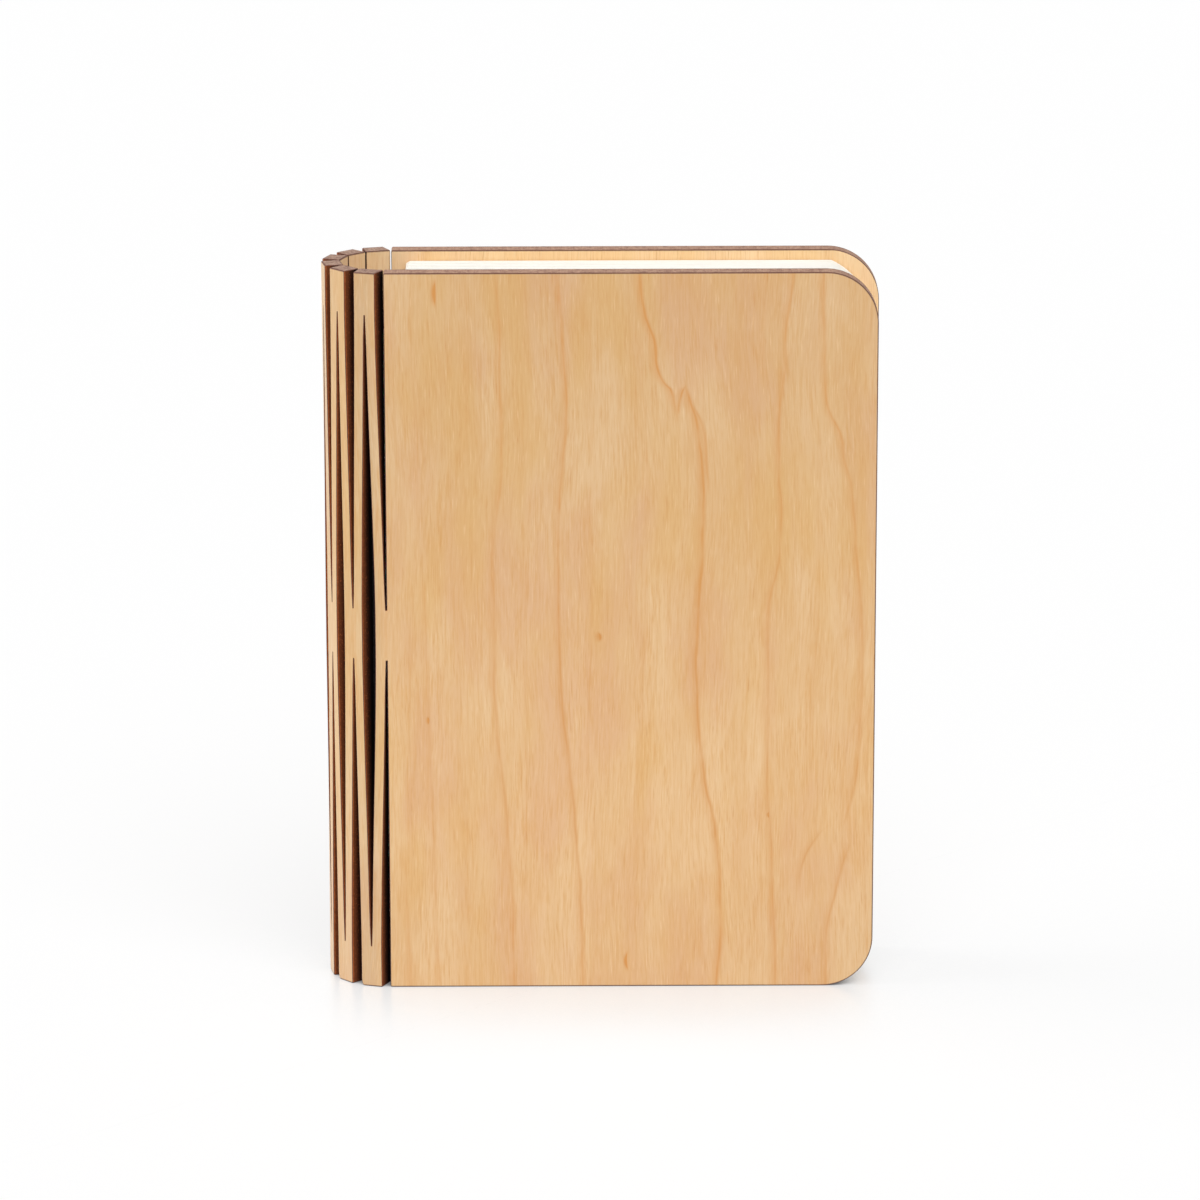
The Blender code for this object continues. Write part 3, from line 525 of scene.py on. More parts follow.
@dataclass(frozen=True)
class SlitWall:
    """A slit's wall: rust brown char at the outer face, with painted shade that darkens it to near
    black further in, and a few pale specks.
    """

    name: str = "laser_cut_slit_wall"
    outer: Colour = (178, 98, 52)
    brown: Colour = (108, 58, 31)
    # The next two colours are painted shade, for the slit's darkness further in.
    deep: Colour = (58, 30, 16)
    soot: Colour = (17, 10, 7)
    to_brown: Span = (0.1 * MM, 0.42 * MM)
    to_deep: Span = (0.6 * MM, 1.6 * MM)
    to_soot: Span = (1.5 * MM, 2.5 * MM)
    speck_reach: Span = (1.0 * MM, 2.4 * MM)
    waver: float = 0.5 * MM
    blotches: Pattern = Pattern((0.7, 0.7, 0.7), 14, 4.0, 0.65, 0.6)
    specks: Pattern = Pattern((0.22, 0.22, 0.3), 19, 2.0, 0.6)

    def make(self) -> Material:
        """Build the material."""
        shade = Shade(self.name)
        place = shade.sheet_place()
        _, depth, _ = shade.axes(place)
        blotch, specks = self.blotches.on(shade, place), self.specks.on(shade, place)
        into = (blotch - 0.5) * self.waver + depth + PLY / 2
        # Painted shade: the wall darkens from its outer face inwards, where less light reaches in
        # the narrow slit.
        colour = shade.blend(shade.ramp(into, *self.to_brown), self.outer, self.brown)
        colour = shade.blend(shade.ramp(into, *self.to_deep), colour, self.deep)
        near = shade.ramp(into, *self.speck_reach, 1.0, 0.1)
        colour = shade.blend(shade.ramp(specks, 0.56, 0.74, 0.0, 0.65) * near, colour, self.outer)
        colour = shade.blend(shade.ramp(into, *self.to_soot), colour, self.soot)
        shade.set(Base_Color=colour, Roughness=0.8, Specular_IOR_Level=0.12)
        shade.bump(blotch + specks, 0.03 * MM, 0.6)
        return shade.material


@dataclass(frozen=True)
class Paper:
    """Warm white paper with a faint tangle of fibres."""

    name: str = "paper_warm_white"
    light: Colour = (254, 252, 246)
    shadow: Colour = (249, 247, 237)
    fibres: Pattern = Pattern((0.9, 0.9, 0.9), 0, 5.0, 0.7, 1.4)
    clouds: Pattern = Pattern((9, 9, 9), 4, 3.0)

    def make(self) -> Material:
        """Build the material."""
        shade = Shade(self.name)
        place = shade.place()
        fibre, cloud = self.fibres.on(shade, place), self.clouds.on(shade, place)
        share = shade.ramp(fibre, 0.35, 0.7) * shade.ramp(cloud, 0.3, 0.7, 0.5, 1.0)
        shade.set(Base_Color=shade.blend(share, self.light, self.shadow), Roughness=0.8,
                  Specular_IOR_Level=0.2, Subsurface_Weight=0.25, Subsurface_Scale=0.8 * MM,
                  Subsurface_Radius=(1.0, 1.0, 1.0))
        shade.bump(fibre, 0.02 * MM, 0.4)
        return shade.material


@dataclass(frozen=True)
class Moulded:
    """A moulded or coated surface: one colour with a fine grain and slight clouding."""

    name: str
    colour: Colour
    roughness: float
    grain: float = 0.25
    spread: float = 0.05
    metal: float = 0.0
    depth: float = 0.01 * MM
    glow_through: float = 0.0
    clouds: Pattern = Pattern((4, 4, 4), 2)

    def make(self) -> Material:
        """Build the material."""
        shade = Shade(self.name)
        place = shade.place()
        grain = Pattern((self.grain,) * 3, 0, 3.0, 0.6).on(shade, place)
        tone = (grain + self.clouds.on(shade, place)) * self.spread + (1 - self.spread)
        low, high = self.roughness * 0.85, min(1.0, self.roughness * 1.15)
        shade.set(Base_Color=shade.toned(self.colour, tone), Metallic=self.metal,
                  Roughness=shade.ramp(grain, 0.2, 0.8, low, high),
                  Subsurface_Weight=self.glow_through, Subsurface_Scale=1.0 * MM)
        shade.bump(grain, self.depth, 0.5)
        return shade.material


@dataclass(frozen=True)
class Brushed:
    """Plated or drawn metal with fine scratches along Y or Z."""

    name: str
    colour: Colour
    roughness: float = 0.28
    scratches: Pattern = Pattern((0.08, 0.08, 3), 0, 3.0, 0.6)
    wear: Pattern = Pattern((1.5, 1.5, 1.5), 3, 3.0)

    def make(self) -> Material:
        """Build the material."""
        shade = Shade(self.name)
        place = shade.place()
        scratch = self.scratches.on(shade, place)
        tone = shade.ramp(self.wear.on(shade, place), 0.3, 0.7, 0.9, 1.0)
        rough = shade.ramp(scratch, 0.2, 0.8, self.roughness * 0.8, self.roughness * 1.4)
        shade.set(Base_Color=shade.toned(self.colour, tone), Roughness=rough, Metallic=1.0)
        shade.bump(scratch, 0.004 * MM, 0.5)
        return shade.material


@dataclass(frozen=True)
class BoardMask:
    """White solder mask over copper traces that run up and down the board."""

    name: str = "board_white_mask"
    mask: Colour = (238, 239, 234)
    trace: Colour = (220, 223, 214)
    lane: float = 1.1 * MM
    jog: float = 0.7 * MM
    jog_pitch: float = 9 * MM
    lane_shift: float = 0.4 * MM
    trace_edge: Span = (0.12 * MM, 0.2 * MM)
    grain: Pattern = Pattern((0.3, 0.3, 0.3))

    def make(self) -> Material:
        """Build the material."""
        shade = Shade(self.name)
        place = shade.place()
        _, across, up = shade.axes(place)
        lanes = shade.sums("PINGPONG", across + self.lane_shift, self.lane)
        jogs = shade.sums("PINGPONG", shade.sums("SNAP", up, self.jog_pitch), self.jog)
        traces = shade.ramp(abs(lanes - jogs), *self.trace_edge, 1.0, 0.0)
        rough = shade.ramp(self.grain.on(shade, place), 0.2, 0.8, 0.35, 0.5)
        shade.set(Base_Color=shade.blend(traces, self.mask, self.trace), Roughness=rough)
        shade.bump(traces, 0.03 * MM, 0.6)
        return shade.material


class Finishes:
    """Every finish of the lamp, made once."""

    def __init__(self) -> None:
        """Make the materials."""
        self.veneer_front = Veneer("veneer_front_cover", lines=FRONT_LINES).make()
        self.veneer_back = Veneer("veneer_back_cover", lines=BACK_LINES, mirrored=True).make()
        # The spine's veneer: a cool cast of painted light, and a little less painted shade at its
        # head.
        self.veneer_spine = Veneer("veneer_spine", tint=(240, 245, 253), head_tone=0.935).make()
        # A lighter copy of the veneer on the inner faces: painted light, for the top light and the
        # bounce off the pages.
        self.veneer_inside = Veneer(
            "veneer_inside", 80.0, pale=(252, 219, 175), warm=(248, 211, 162),
            dusky=(241, 199, 157), golden=(243, 203, 144), amber=(235, 186, 124),
            head_tone=0.99).make()
        self.rim = LaserCut("laser_cut_rim", (174, 140, 118), (126, 92, 76), (76, 47, 40),
                            scorch_reach=0.42 * MM).make()
        self.slat_top = LaserCut("laser_cut_slat_top", (176, 146, 128), (106, 76, 64),
                                 (70, 43, 37), 0.45, 0.4 * MM, 9.0).make()
        self.slit_wall = SlitWall().make()
        self.scorched = LaserCut("scorched_corner", (118, 78, 66), (84, 52, 44), (92, 58, 50),
                                 seed=21.0).make()
        self.paper = Paper().make()
        self.black_plastic = Moulded("black_plastic_grained", (38, 37, 37), 0.5).make()
        self.frosted = Moulded("frosted_diffuser", (248, 247, 241), 0.38, 0.12, 0.02,
                               glow_through=0.35).make()
        self.foam = Moulded("foam_open_cell", (228, 226, 218), 0.95, 0.35, 0.12,
                            depth=0.12 * MM).make()
        self.battery = Moulded("battery_film_crinkled", (186, 188, 192), 0.32, 1.4, 0.08, 0.85,
                               0.08 * MM).make()
        self.tape = Moulded("battery_tape_amber", (196, 142, 52), 0.3, 0.5, 0.06).make()
        self.epoxy = Moulded("chip_epoxy_matt", (40, 40, 43), 0.6, 0.15, 0.1).make()
        self.red_lead = Moulded("lead_insulation_red", (178, 42, 38), 0.42, 0.3, 0.06).make()
        self.black_lead = Moulded("lead_insulation_black", (36, 36, 38), 0.42, 0.3, 0.08).make()
        self.lamp_white = Moulded("lamp_package_white", (240, 240, 236), 0.4, 0.2, 0.03).make()
        self.phosphor = Moulded("lamp_phosphor", (248, 222, 104), 0.28, 0.1, 0.06,
                                glow_through=0.2).make()
        self.solder = Brushed("solder_tin", (206, 206, 204), 0.22).make()
        self.nickel = Brushed("magnet_nickel", (196, 194, 188), 0.26,
                              Pattern((0.08, 3, 0.08), 0, 3.0, 0.6)).make()
        self.steel = Brushed("socket_steel_drawn", (184, 184, 182), 0.3).make()
        self.board = BoardMask().make()
        log.info("finishes made: %d", len(vars(self)))


def linked(name: str, mesh: bpy.types.Mesh) -> Piece:
    """Put a mesh in the scene as an object at the origin."""
    piece = bpy.data.objects.new(name, mesh)
    bpy.context.scene.collection.objects.link(piece)
    return piece


def baked(piece: Piece) -> Piece:
    """Turn an object and its modifiers into a plain mesh."""
    graph = bpy.context.evaluated_depsgraph_get()
    mesh = bpy.data.meshes.new_from_object(piece.evaluated_get(graph))
    piece.modifiers.clear()
    piece.data = mesh
    return piece


def bevelled(piece: Piece, width: float, segments: int = 2) -> Piece:
    """Round an object's edges and keep the result as its mesh."""
    bevel = piece.modifiers.new("rounding", "BEVEL")
    bevel.width, bevel.segments, bevel.limit_method = width, segments, "ANGLE"
    return baked(piece)


def cut_out(piece: Piece, cutter: Piece) -> None:
    """Cut the shape of one object out of another, and remove the first."""
    cut = piece.modifiers.new("cut", "BOOLEAN")
    cut.operation, cut.solver, cut.object = "DIFFERENCE", "EXACT", cutter
    baked(piece)
    bpy.data.objects.remove(cutter)


def smoothed(piece: Piece, degrees: float = 32.0) -> Piece:
    """Shade an object smoothly, apart from edges sharper than an angle."""
    piece.data.shade_smooth()
    piece.data.set_sharp_from_angle(angle=math.radians(degrees))
    return piece


def keep(piece: Piece, slot: str, body: str, *nodes: str, blended: bool = False) -> None:
    """Log a finished piece, let it ride on its body unless it is blended, and hide the CAD nodes
    that it replaces.

    Args:
        piece: the piece.
        slot: its material slot; not used.
        body: the body that it rides on.
        nodes: the CAD nodes that it replaces.
        blended: whether it spans two bodies, and so rides on neither.
    """
    if not blended:
        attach(piece, body)
    if nodes:
        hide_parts(*nodes)
    log.info("%-28s %-16s %6d faces", piece.name, body, len(piece.data.polygons))


def arc(centre: Vector, radius: float, start: float, stop: float, steps: int,
        second: Vector = INTO) -> Ring:
    """Points of an arc.

    Args:
        centre: its centre.
        radius: its radius.
        start: the angle where it starts, in degrees from X.
        stop: the angle where it stops.
        steps: how many stretches it has.
        second: the direction that lies at 90 degrees.

    Returns:
        The points, both ends among them.
    """
    turns = [math.radians(turn) for turn in (*steps_between(start, stop, steps), stop)]
    return [centre + radius * (ACROSS * math.cos(turn) + second * math.sin(turn)) for turn in turns]


def lofted(name: str, rings: Sequence[Ring], materials: Sequence[Material],
           finish: Callable[[int, int], int] | None = None,
           caps: tuple[int, int] = (0, 0)) -> Piece:
    """A closed solid through rings of points.

    Args:
        name: the object's name.
        rings: the rings, each with the same number of points.
        materials: the object's materials.
        finish: gives a side face's material from its row and its place in the ring.
        caps: materials of the first and the last cap.

    Returns:
        The object, with its points in the order of the rings.
    """
    bm = bmesh.new()
    rows = [[bm.verts.new(point) for point in ring] for ring in rings]
    count = len(rows[0])
    for row, (here, there) in enumerate(zip(rows, rows[1:])):
        for this in range(count):
            after = (this + 1) % count
            face = bm.faces.new((here[this], here[after], there[after], there[this]))
            face.material_index = finish(row, this) if finish else 0
    for ring, slot in ((rows[0], caps[0]), (rows[-1], caps[1])):
        bm.faces.new(ring).material_index = slot
    bmesh.ops.recalc_face_normals(bm, faces=bm.faces)
    mesh = bpy.data.meshes.new(name)
    bm.to_mesh(mesh)
    bm.free()
    for material in materials:
        mesh.materials.append(material)
    return linked(name, mesh)


def stamped(piece: Piece, places: Sequence[Vector]) -> Piece:
    """Give each point of a plywood piece its place on the flat sheet."""
    stamp = piece.data.attributes.new(SHEET_PLACE, "FLOAT_VECTOR", "POINT")
    stamp.data.foreach_set("vector", [number for place in places for number in place])
    return piece


class Side(Enum):
    """A cover's side of the book."""

    FRONT = "front"
    BACK = "back"

    @property
    def board(self) -> str:
        """Name of the cover's body."""
        return f"{self.value}_board"

    @property
    def outward(self) -> int:
        """Sign of Y away from the pages."""
        return -1 if self is Side.FRONT else 1


@dataclass(frozen=True)
class Sides:
    """The two walls of a piece of the lattice, as X in its block's frame.

    A wall that leans stands further out at the inner face, as the laser's cut narrows on its way
    through. A joined wall runs into its neighbour, so its corners aren't cut.
    """

    low: float
    high: float
    low_lean: float = 0.0
    high_lean: float = 0.0
    joined_low: bool = False
    joined_high: bool = False


@dataclass(frozen=True)
class SpineBlock:
    """One rigid stretch of the sheet.

    frame has its origin in the middle of the ply at the foot. Its X runs back towards the front
    cover, its Y in to the pages. flat is where that origin lies along the flat sheet.
    """

    name: str
    frame: Matrix
    flat: float

    def sheet_place(self, point: Vector) -> Vector:
        """Where a point of this block lies on the flat sheet."""
        local = self.frame.inverted() @ point
        return Vector((self.flat + local.x, local.y, local.z))


@dataclass
class SheetPlan:
    """The rigid blocks of the plywood sheet and the sizes that they share."""

    joints: list[dict[str, Any]]
    height: float = HEIGHT
    cover_width: float = COVER_WIDTH
    ply: float = PLY
    strip: float = STRIP
    kerf: float = KERF
    slit: float = SLIT
    slat_end: float = 7.0 * MM
    bridge: float = 8.5 * MM
    corner: float = 0.1 * MM
    lean: float = 0.07 * MM
    front_lean: float = 0.48 * MM
    back_lean: float = 0.42 * MM
    blocks: dict[str, SpineBlock] = field(init=False)

    def __post_init__(self) -> None:
        """Lay out the blocks from the joints' axes, front cover first."""
        ordered = sorted(self.joints, key=lambda joint: joint["name"])
        axes = [Vector((*joint["pos_m"][:2], 0.0)) for joint in ordered]
        middle = len(ordered) // 2
        names = [ordered[0]["child"]] + [joint["parent"] for joint in ordered[:middle]]
        names += [joint["child"] for joint in ordered[middle:]]
        pitch = self.slat + self.slit
        to_axis, to_cover = pitch / 4, (self.kerf + self.slit + self.strip) / 2
        ways = [ACROSS, *((a - b).normalized() for a, b in zip(axes, axes[1:])), -ACROSS]
        origins = [axes[0] + ways[0] * to_cover]
        origins += [after + way * to_axis for after, way in zip(axes[1:-1], ways[1:-2])]
        origins += [axes[-2] - ways[-2] * to_axis, axes[-1] - ways[-1] * to_cover]
        first = -(self.slit + self.slat / 2)
        flats = [0.0] + [first - number * pitch / 2 for number in range(len(names) - 2)]
        flats.append(flats[-1] - self.slat / 2 - self.slit)
        self.blocks = {}
        for name, way, origin, flat in zip(names, ways, origins, flats):
            inward = Vector((-way.y, way.x, 0))
            turn = Matrix((way, inward, UP)).transposed().to_4x4()
            self.blocks[name] = SpineBlock(name, Matrix.Translation(origin) @ turn, flat)

    @property
    def slat(self) -> float:
        """Width of a whole slat."""
        return 2 * self.strip + self.kerf

    @property
    def names(self) -> list[str]:
        """Names of the blocks, front cover first."""
        return list(self.blocks)

    def section(self, sides: Sides, inset: float = 0.0) -> list[Vector]:
        """A block's section with its corners cut; inset shrinks it all round."""
        half = self.ply / 2 - inset
        low, high = sides.low + inset, sides.high - inset
        low_cut = 0.0 if sides.joined_low else self.corner
        high_cut = 0.0 if sides.joined_high else self.corner
        low_in, high_in = low - sides.low_lean, high + sides.high_lean
        return [Vector((x, y, 0)) for x, y in (
            (low + low_cut, -half), (high - high_cut, -half), (high, high_cut - half),
            (high_in, half - high_cut), (high_in - high_cut, half), (low_in + low_cut, half),
            (low_in, half - low_cut), (low, low_cut - half))]


class WoodSlot(Enum):
    """Order of the materials on every piece of the lattice."""

    FACE = 0
    INSIDE = 1
    WALL = 2
    CORNER = 3
    TOP = 4


SECTION_SLOTS = (WoodSlot.FACE, WoodSlot.CORNER, WoodSlot.WALL, WoodSlot.CORNER,
                 WoodSlot.INSIDE, WoodSlot.CORNER, WoodSlot.WALL, WoodSlot.CORNER)


@dataclass
class Cover:
    """One cover: a plywood board with round fore-edge corners and pockets for its magnets."""

    plan: SheetPlan
    finishes: Finishes
    side: Side
    fore_radius: float = FORE_RADIUS
    spine_radius: float = 0.3 * MM
    fore_steps: int = 20
    spine_steps: int = 5
    pocket_gap: float = 0.3 * MM
    magnet_corner: float = 0.15 * MM
    magnet_knee: float = 0.3
    disc_steps: int = 40

    @property
    def block(self) -> SpineBlock:
        """The sheet's block that this cover is."""
        return self.plan.blocks[self.side.board]

    def outline(self, y: float, inset: float) -> Ring:
        """The cover's outline at one depth, drawn in by an inset."""
        left = self.block.frame.translation.x
        points: Ring = []
        for fore, head, start in ((1, 0, -90), (1, 1, 0), (0, 1, 90), (0, 0, 180)):
            size = self.fore_radius if fore else self.spine_radius
            steps = self.fore_steps if fore else self.spine_steps
            x = left + (self.plan.cover_width - size if fore else size)
            z = self.plan.height - size if head else size
            points += arc(Vector((x, y, z)), size - inset, start, start + 90, steps, UP)
        return points

    def ring(self, centre: Vector, radius: float, y: float) -> Ring:
        """A circle that lies flat against the cover."""
        return arc(Vector((centre.x, y, centre.z)), radius, 0, 360, self.disc_steps, UP)[:-1]

    def magnets(self) -> list[tuple[str, str, Vector, Vector]]:
        """The magnets' names, CAD nodes and boxes."""
        side = self.side.value
        found = [(f"{side}_magnet_{end}", f"{side}_cover_{end}_magnet") for end in ("foot", "head")]
        if self.side is Side.FRONT:
            found.append(("switch_magnet_disc", "switch_magnet"))
        return [(name, node, *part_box(node)) for name, node in found]

    def make_board(self) -> None:
        """Make the board and sink its magnet pockets."""
        cut, half, outward = self.plan.corner, self.plan.ply / 2, self.side.outward
        y = self.block.frame.translation.y
        outer, inner = y + outward * half, y - outward * half
        rings = [self.outline(outer, cut), self.outline(outer - outward * cut, 0.0),
                 self.outline(inner + outward * cut, 0.0), self.outline(inner, cut)]
        made = self.finishes
        face = made.veneer_front if self.side is Side.FRONT else made.veneer_back
        board = lofted(f"{self.side.board}_wood", rings,
                       (face, made.veneer_inside, made.rim, made.scorched),
                       lambda row, _: 2 if row == 1 else 3, (0, 1))
        for _, _, low, high in self.magnets():
            centre, radius = (low + high) / 2, (high.x - low.x) / 2 + self.pocket_gap
            depth = high.y - low.y + self.pocket_gap
            walls = [self.ring(centre, radius, inner + outward * depth),
                     self.ring(centre, radius, inner - outward * half)]
            cut_out(board, lofted("pocket", walls, board.data.materials, lambda *_: 2, (2, 2)))
        stamped(board, [self.block.sheet_place(vertex.co) for vertex in board.data.vertices])
        smoothed(board, 20.0)
        keep(board, "maple_ply", self.side.board, f"{self.side.value}_cover")

    def make_magnets(self) -> None:
        """Make the nickel discs."""
        cut, knee = self.magnet_corner, self.magnet_corner * self.magnet_knee
        for name, node, low, high in self.magnets():
            centre, radius = (low + high) / 2, (high.x - low.x) / 2
            stations = ((low.y, radius - cut), (low.y + knee, radius - knee),
                        (low.y + cut, radius), (high.y - cut, radius),
                        (high.y - knee, radius - knee), (high.y, radius - cut))
            rings = [self.ring(centre, size, y) for y, size in stations]
            disc = smoothed(lofted(name, rings, (self.finishes.nickel,)), 40.0)
            keep(disc, "nickel", self.side.board, node)

    def make(self) -> None:
        """Make the cover and its magnets."""
        self.make_board()
        self.make_magnets()


@dataclass(frozen=True)
class Arm:
    """A half strip: where it leaves its bridge, and where it meets its slat's end block."""

    name: str
    bridge: SpineBlock
    bridge_x: float
    slat: SpineBlock
    slat_x: float


@dataclass
class Lattice:
    """The hinge: slats' end blocks, bridges, and the half strips that twist between them."""

    plan: SheetPlan
    finishes: Finishes
    slats: int = SLATS
    strip_steps: int = 22
    tip_steps: int = 6
    tip_growth: float = 0.13 * MM
    tip_start: float = 0.85
    foot_round: tuple[tuple[float, float], ...] = (
        (0.0, 0.34 * MM), (0.12 * MM, 0.24 * MM), (0.4 * MM, 0.12 * MM), (0.8 * MM, 0.04 * MM),
        (1.2 * MM, 0.0))

    def dressed(self, name: str, rings: list[Ring], places: list[Vector],
                caps: tuple[WoodSlot, WoodSlot]) -> Piece:
        """A piece of the lattice, with its five finishes and its places on the sheet."""
        made = self.finishes
        materials = (made.veneer_spine, made.veneer_inside, made.slit_wall, made.scorched,
                     made.slat_top)
        top_rows = {row for row, cap in ((0, caps[0]), (len(rings) - 2, caps[1]))
                    if cap is WoodSlot.TOP}

        def finish(row: int, side: int) -> int:
            """Material of a side face: the rounded ends of a block are scorched."""
            return (WoodSlot.CORNER if row in top_rows else SECTION_SLOTS[side]).value

        piece = lofted(name, rings, materials, finish, (caps[0].value, caps[1].value))
        return smoothed(stamped(piece, places))

    def make_straight(self, name: str, block: SpineBlock, sides: Sides,
                      stations: Sequence[tuple[float, float, float]],
                      caps: tuple[WoodSlot, WoodSlot], node: str) -> None:
        """Make a piece with one section all the way up.

        Args:
            name: the object's name.
            block: the block that it is part of.
            sides: its two walls.
            stations: heights, each with an inset all round and one more for the low wall.
            caps: materials of its foot and its head.
            node: the CAD node that it replaces.
        """
        rings, places = [], []
        for z, inset, drawn in stations:
            here = replace(sides, low=sides.low + drawn, low_lean=sides.low_lean + drawn * 0.5)
            spots = [spot + UP * z for spot in self.plan.section(here, inset)]
            rings.append([block.frame @ spot for spot in spots])
            places += [spot + ACROSS * block.flat for spot in spots]
        keep(self.dressed(name, rings, places, caps), "maple_ply", block.name, node)

    def make_slat_ends(self, number: int) -> None:
        """Make a slat's two end blocks."""
        plan = self.plan
        block = plan.blocks[f"slat_block_{number}"]
        top, cut, half, end = plan.height, plan.corner, plan.slat / 2, plan.slat_end
        sides = Sides(-half, half, plan.back_lean if number == self.slats else plan.lean,
                      plan.front_lean if number == 1 else plan.lean)
        foot = [(z, 0.0 if z else cut, drawn) for z, drawn in self.foot_round] + [(end, 0.0, 0.0)]
        head = [(top - end, 0.0, 0.0), (top - cut, 0.0, 0.0), (top, cut, 0.0)]
        for label, stations, caps in (("foot", foot, (WoodSlot.TOP, WoodSlot.WALL)),
                                      ("head", head, (WoodSlot.WALL, WoodSlot.TOP))):
            self.make_straight(f"slat_{number}_{label}_wood", block, sides, stations, caps,
                               f"slat_{number}_{label}")

    def arms(self, number: int) -> list[Arm]:
        """The half strips of one slit."""
        plan, blocks = self.plan, self.plan.blocks
        centre, beside = (plan.kerf + plan.strip) / 2, plan.kerf + plan.strip / 2
        if number == 1:
            board = blocks[Side.FRONT.board]
            return [Arm("slat_1", board, -beside, blocks["slat_block_1"], centre)]
        if number == self.slats + 1:
            board, last = blocks[Side.BACK.board], blocks[f"slat_block_{self.slats}"]
            return [Arm(f"slat_{self.slats}", board, beside, last, -centre)]
        bridge = blocks[f"bridge_block_{number}"]
        return [Arm(f"slat_{slat}", bridge, -side, blocks[f"slat_block_{slat}"], side)
                for slat, side in ((number, centre), (number - 1, -centre))]

    def make_bridge(self, number: int, arms: list[Arm]) -> None:
        """Make a slit's bridge, as wide as the half strips that it joins and their cut."""
        plan = self.plan
        reaches = [arm.bridge_x + side * plan.strip / 2 for arm in arms for side in (-1, 1)]
        sides = Sides(min(reaches), max(reaches), plan.lean, plan.lean)
        if number == 1:
            sides = replace(sides, high=plan.corner, high_lean=0.0, joined_high=True)
        if number == self.slats + 1:
            sides = replace(sides, low=-plan.corner, low_lean=0.0, joined_low=True)
        stations = [((plan.height + side * plan.bridge) / 2, 0.0, 0.0) for side in (-1, 1)]
        self.make_straight(f"bridge_{number}_wood", arms[0].bridge, sides, stations,
                           (WoodSlot.WALL, WoodSlot.WALL), f"flexure_{number}")

    def tip(self, share: float) -> float:
        """How far a wall closes in on a slit that ends where the share is 1."""
        past = max(0.0, share - self.tip_start) / (1 - self.tip_start)
        return self.tip_growth * past * past

    def shares(self) -> list[float]:
        """Places of the sections along a half strip, closer together at the tips of the slits."""
        near = steps_between(0.0, 1 - self.tip_start, self.tip_steps)
        start, stop = near[-1] + near[1], 1 - near[-1] - near[1]
        middle = steps_between(start, stop, self.strip_steps) + [stop]
        return near + middle + [1 - share for share in reversed(near)]

    def make_half_strip(self, number: int, arm: Arm, upper: bool) -> None:
        """Make one half strip, from its bridge to its slat's end block.

        Its section turns at a steady rate, as a bar in torsion does, and drifts across gently.
        """
        plan, half = self.plan, self.plan.strip / 2
        start = (plan.height + (plan.bridge if upper else -plan.bridge)) / 2
        stop = plan.height - plan.slat_end if upper else plan.slat_end
        leave = arm.bridge.frame @ Vector((arm.bridge_x, 0, 0))
        reach = arm.slat.frame @ Vector((arm.slat_x, 0, 0))
        first, last = arm.bridge.frame.to_quaternion(), arm.slat.frame.to_quaternion()
        flat_leave, flat_reach = arm.bridge.flat + arm.bridge_x, arm.slat.flat + arm.slat_x
        far_lean = {1: plan.front_lean, self.slats + 1: plan.back_lean}.get(number, plan.lean)
        rings, places = [], []
        for share in self.shares():
            walls = [(half + self.tip(share), plan.lean * (1 - share)),
                     (half + self.tip(1 - share), far_lean * share)]
            (low, low_lean), (high, high_lean) = walls if arm.slat_x > 0 else walls[::-1]
            section = plan.section(Sides(-low, high, low_lean, high_lean))
            z, drift = start + (stop - start) * share, eased(share)
            middle, turned = leave.lerp(reach, drift), first.slerp(last, share)
            flat = flat_leave + (flat_reach - flat_leave) * drift
            rings.append([Vector((*(middle + turned @ spot).xy, z)) for spot in section])
            places += [Vector((flat + spot.x, spot.y, z)) for spot in section]
        name = f"{arm.name}_strip_{number}_{'upper' if upper else 'lower'}"
        piece = self.dressed(name, rings, places, (WoodSlot.WALL, WoodSlot.WALL))
        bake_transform(piece)
        keep(piece, "maple_ply", arm.bridge.name, f"flexure_{number}", blended=True)

    def make(self) -> None:
        """Make the whole hinge."""
        for number in range(1, self.slats + 1):
            self.make_slat_ends(number)
        for number in range(1, self.slats + 2):
            arms = self.arms(number)
            self.make_bridge(number, arms)
            for arm in arms:
                self.make_half_strip(number, arm, upper=False)
                self.make_half_strip(number, arm, upper=True)


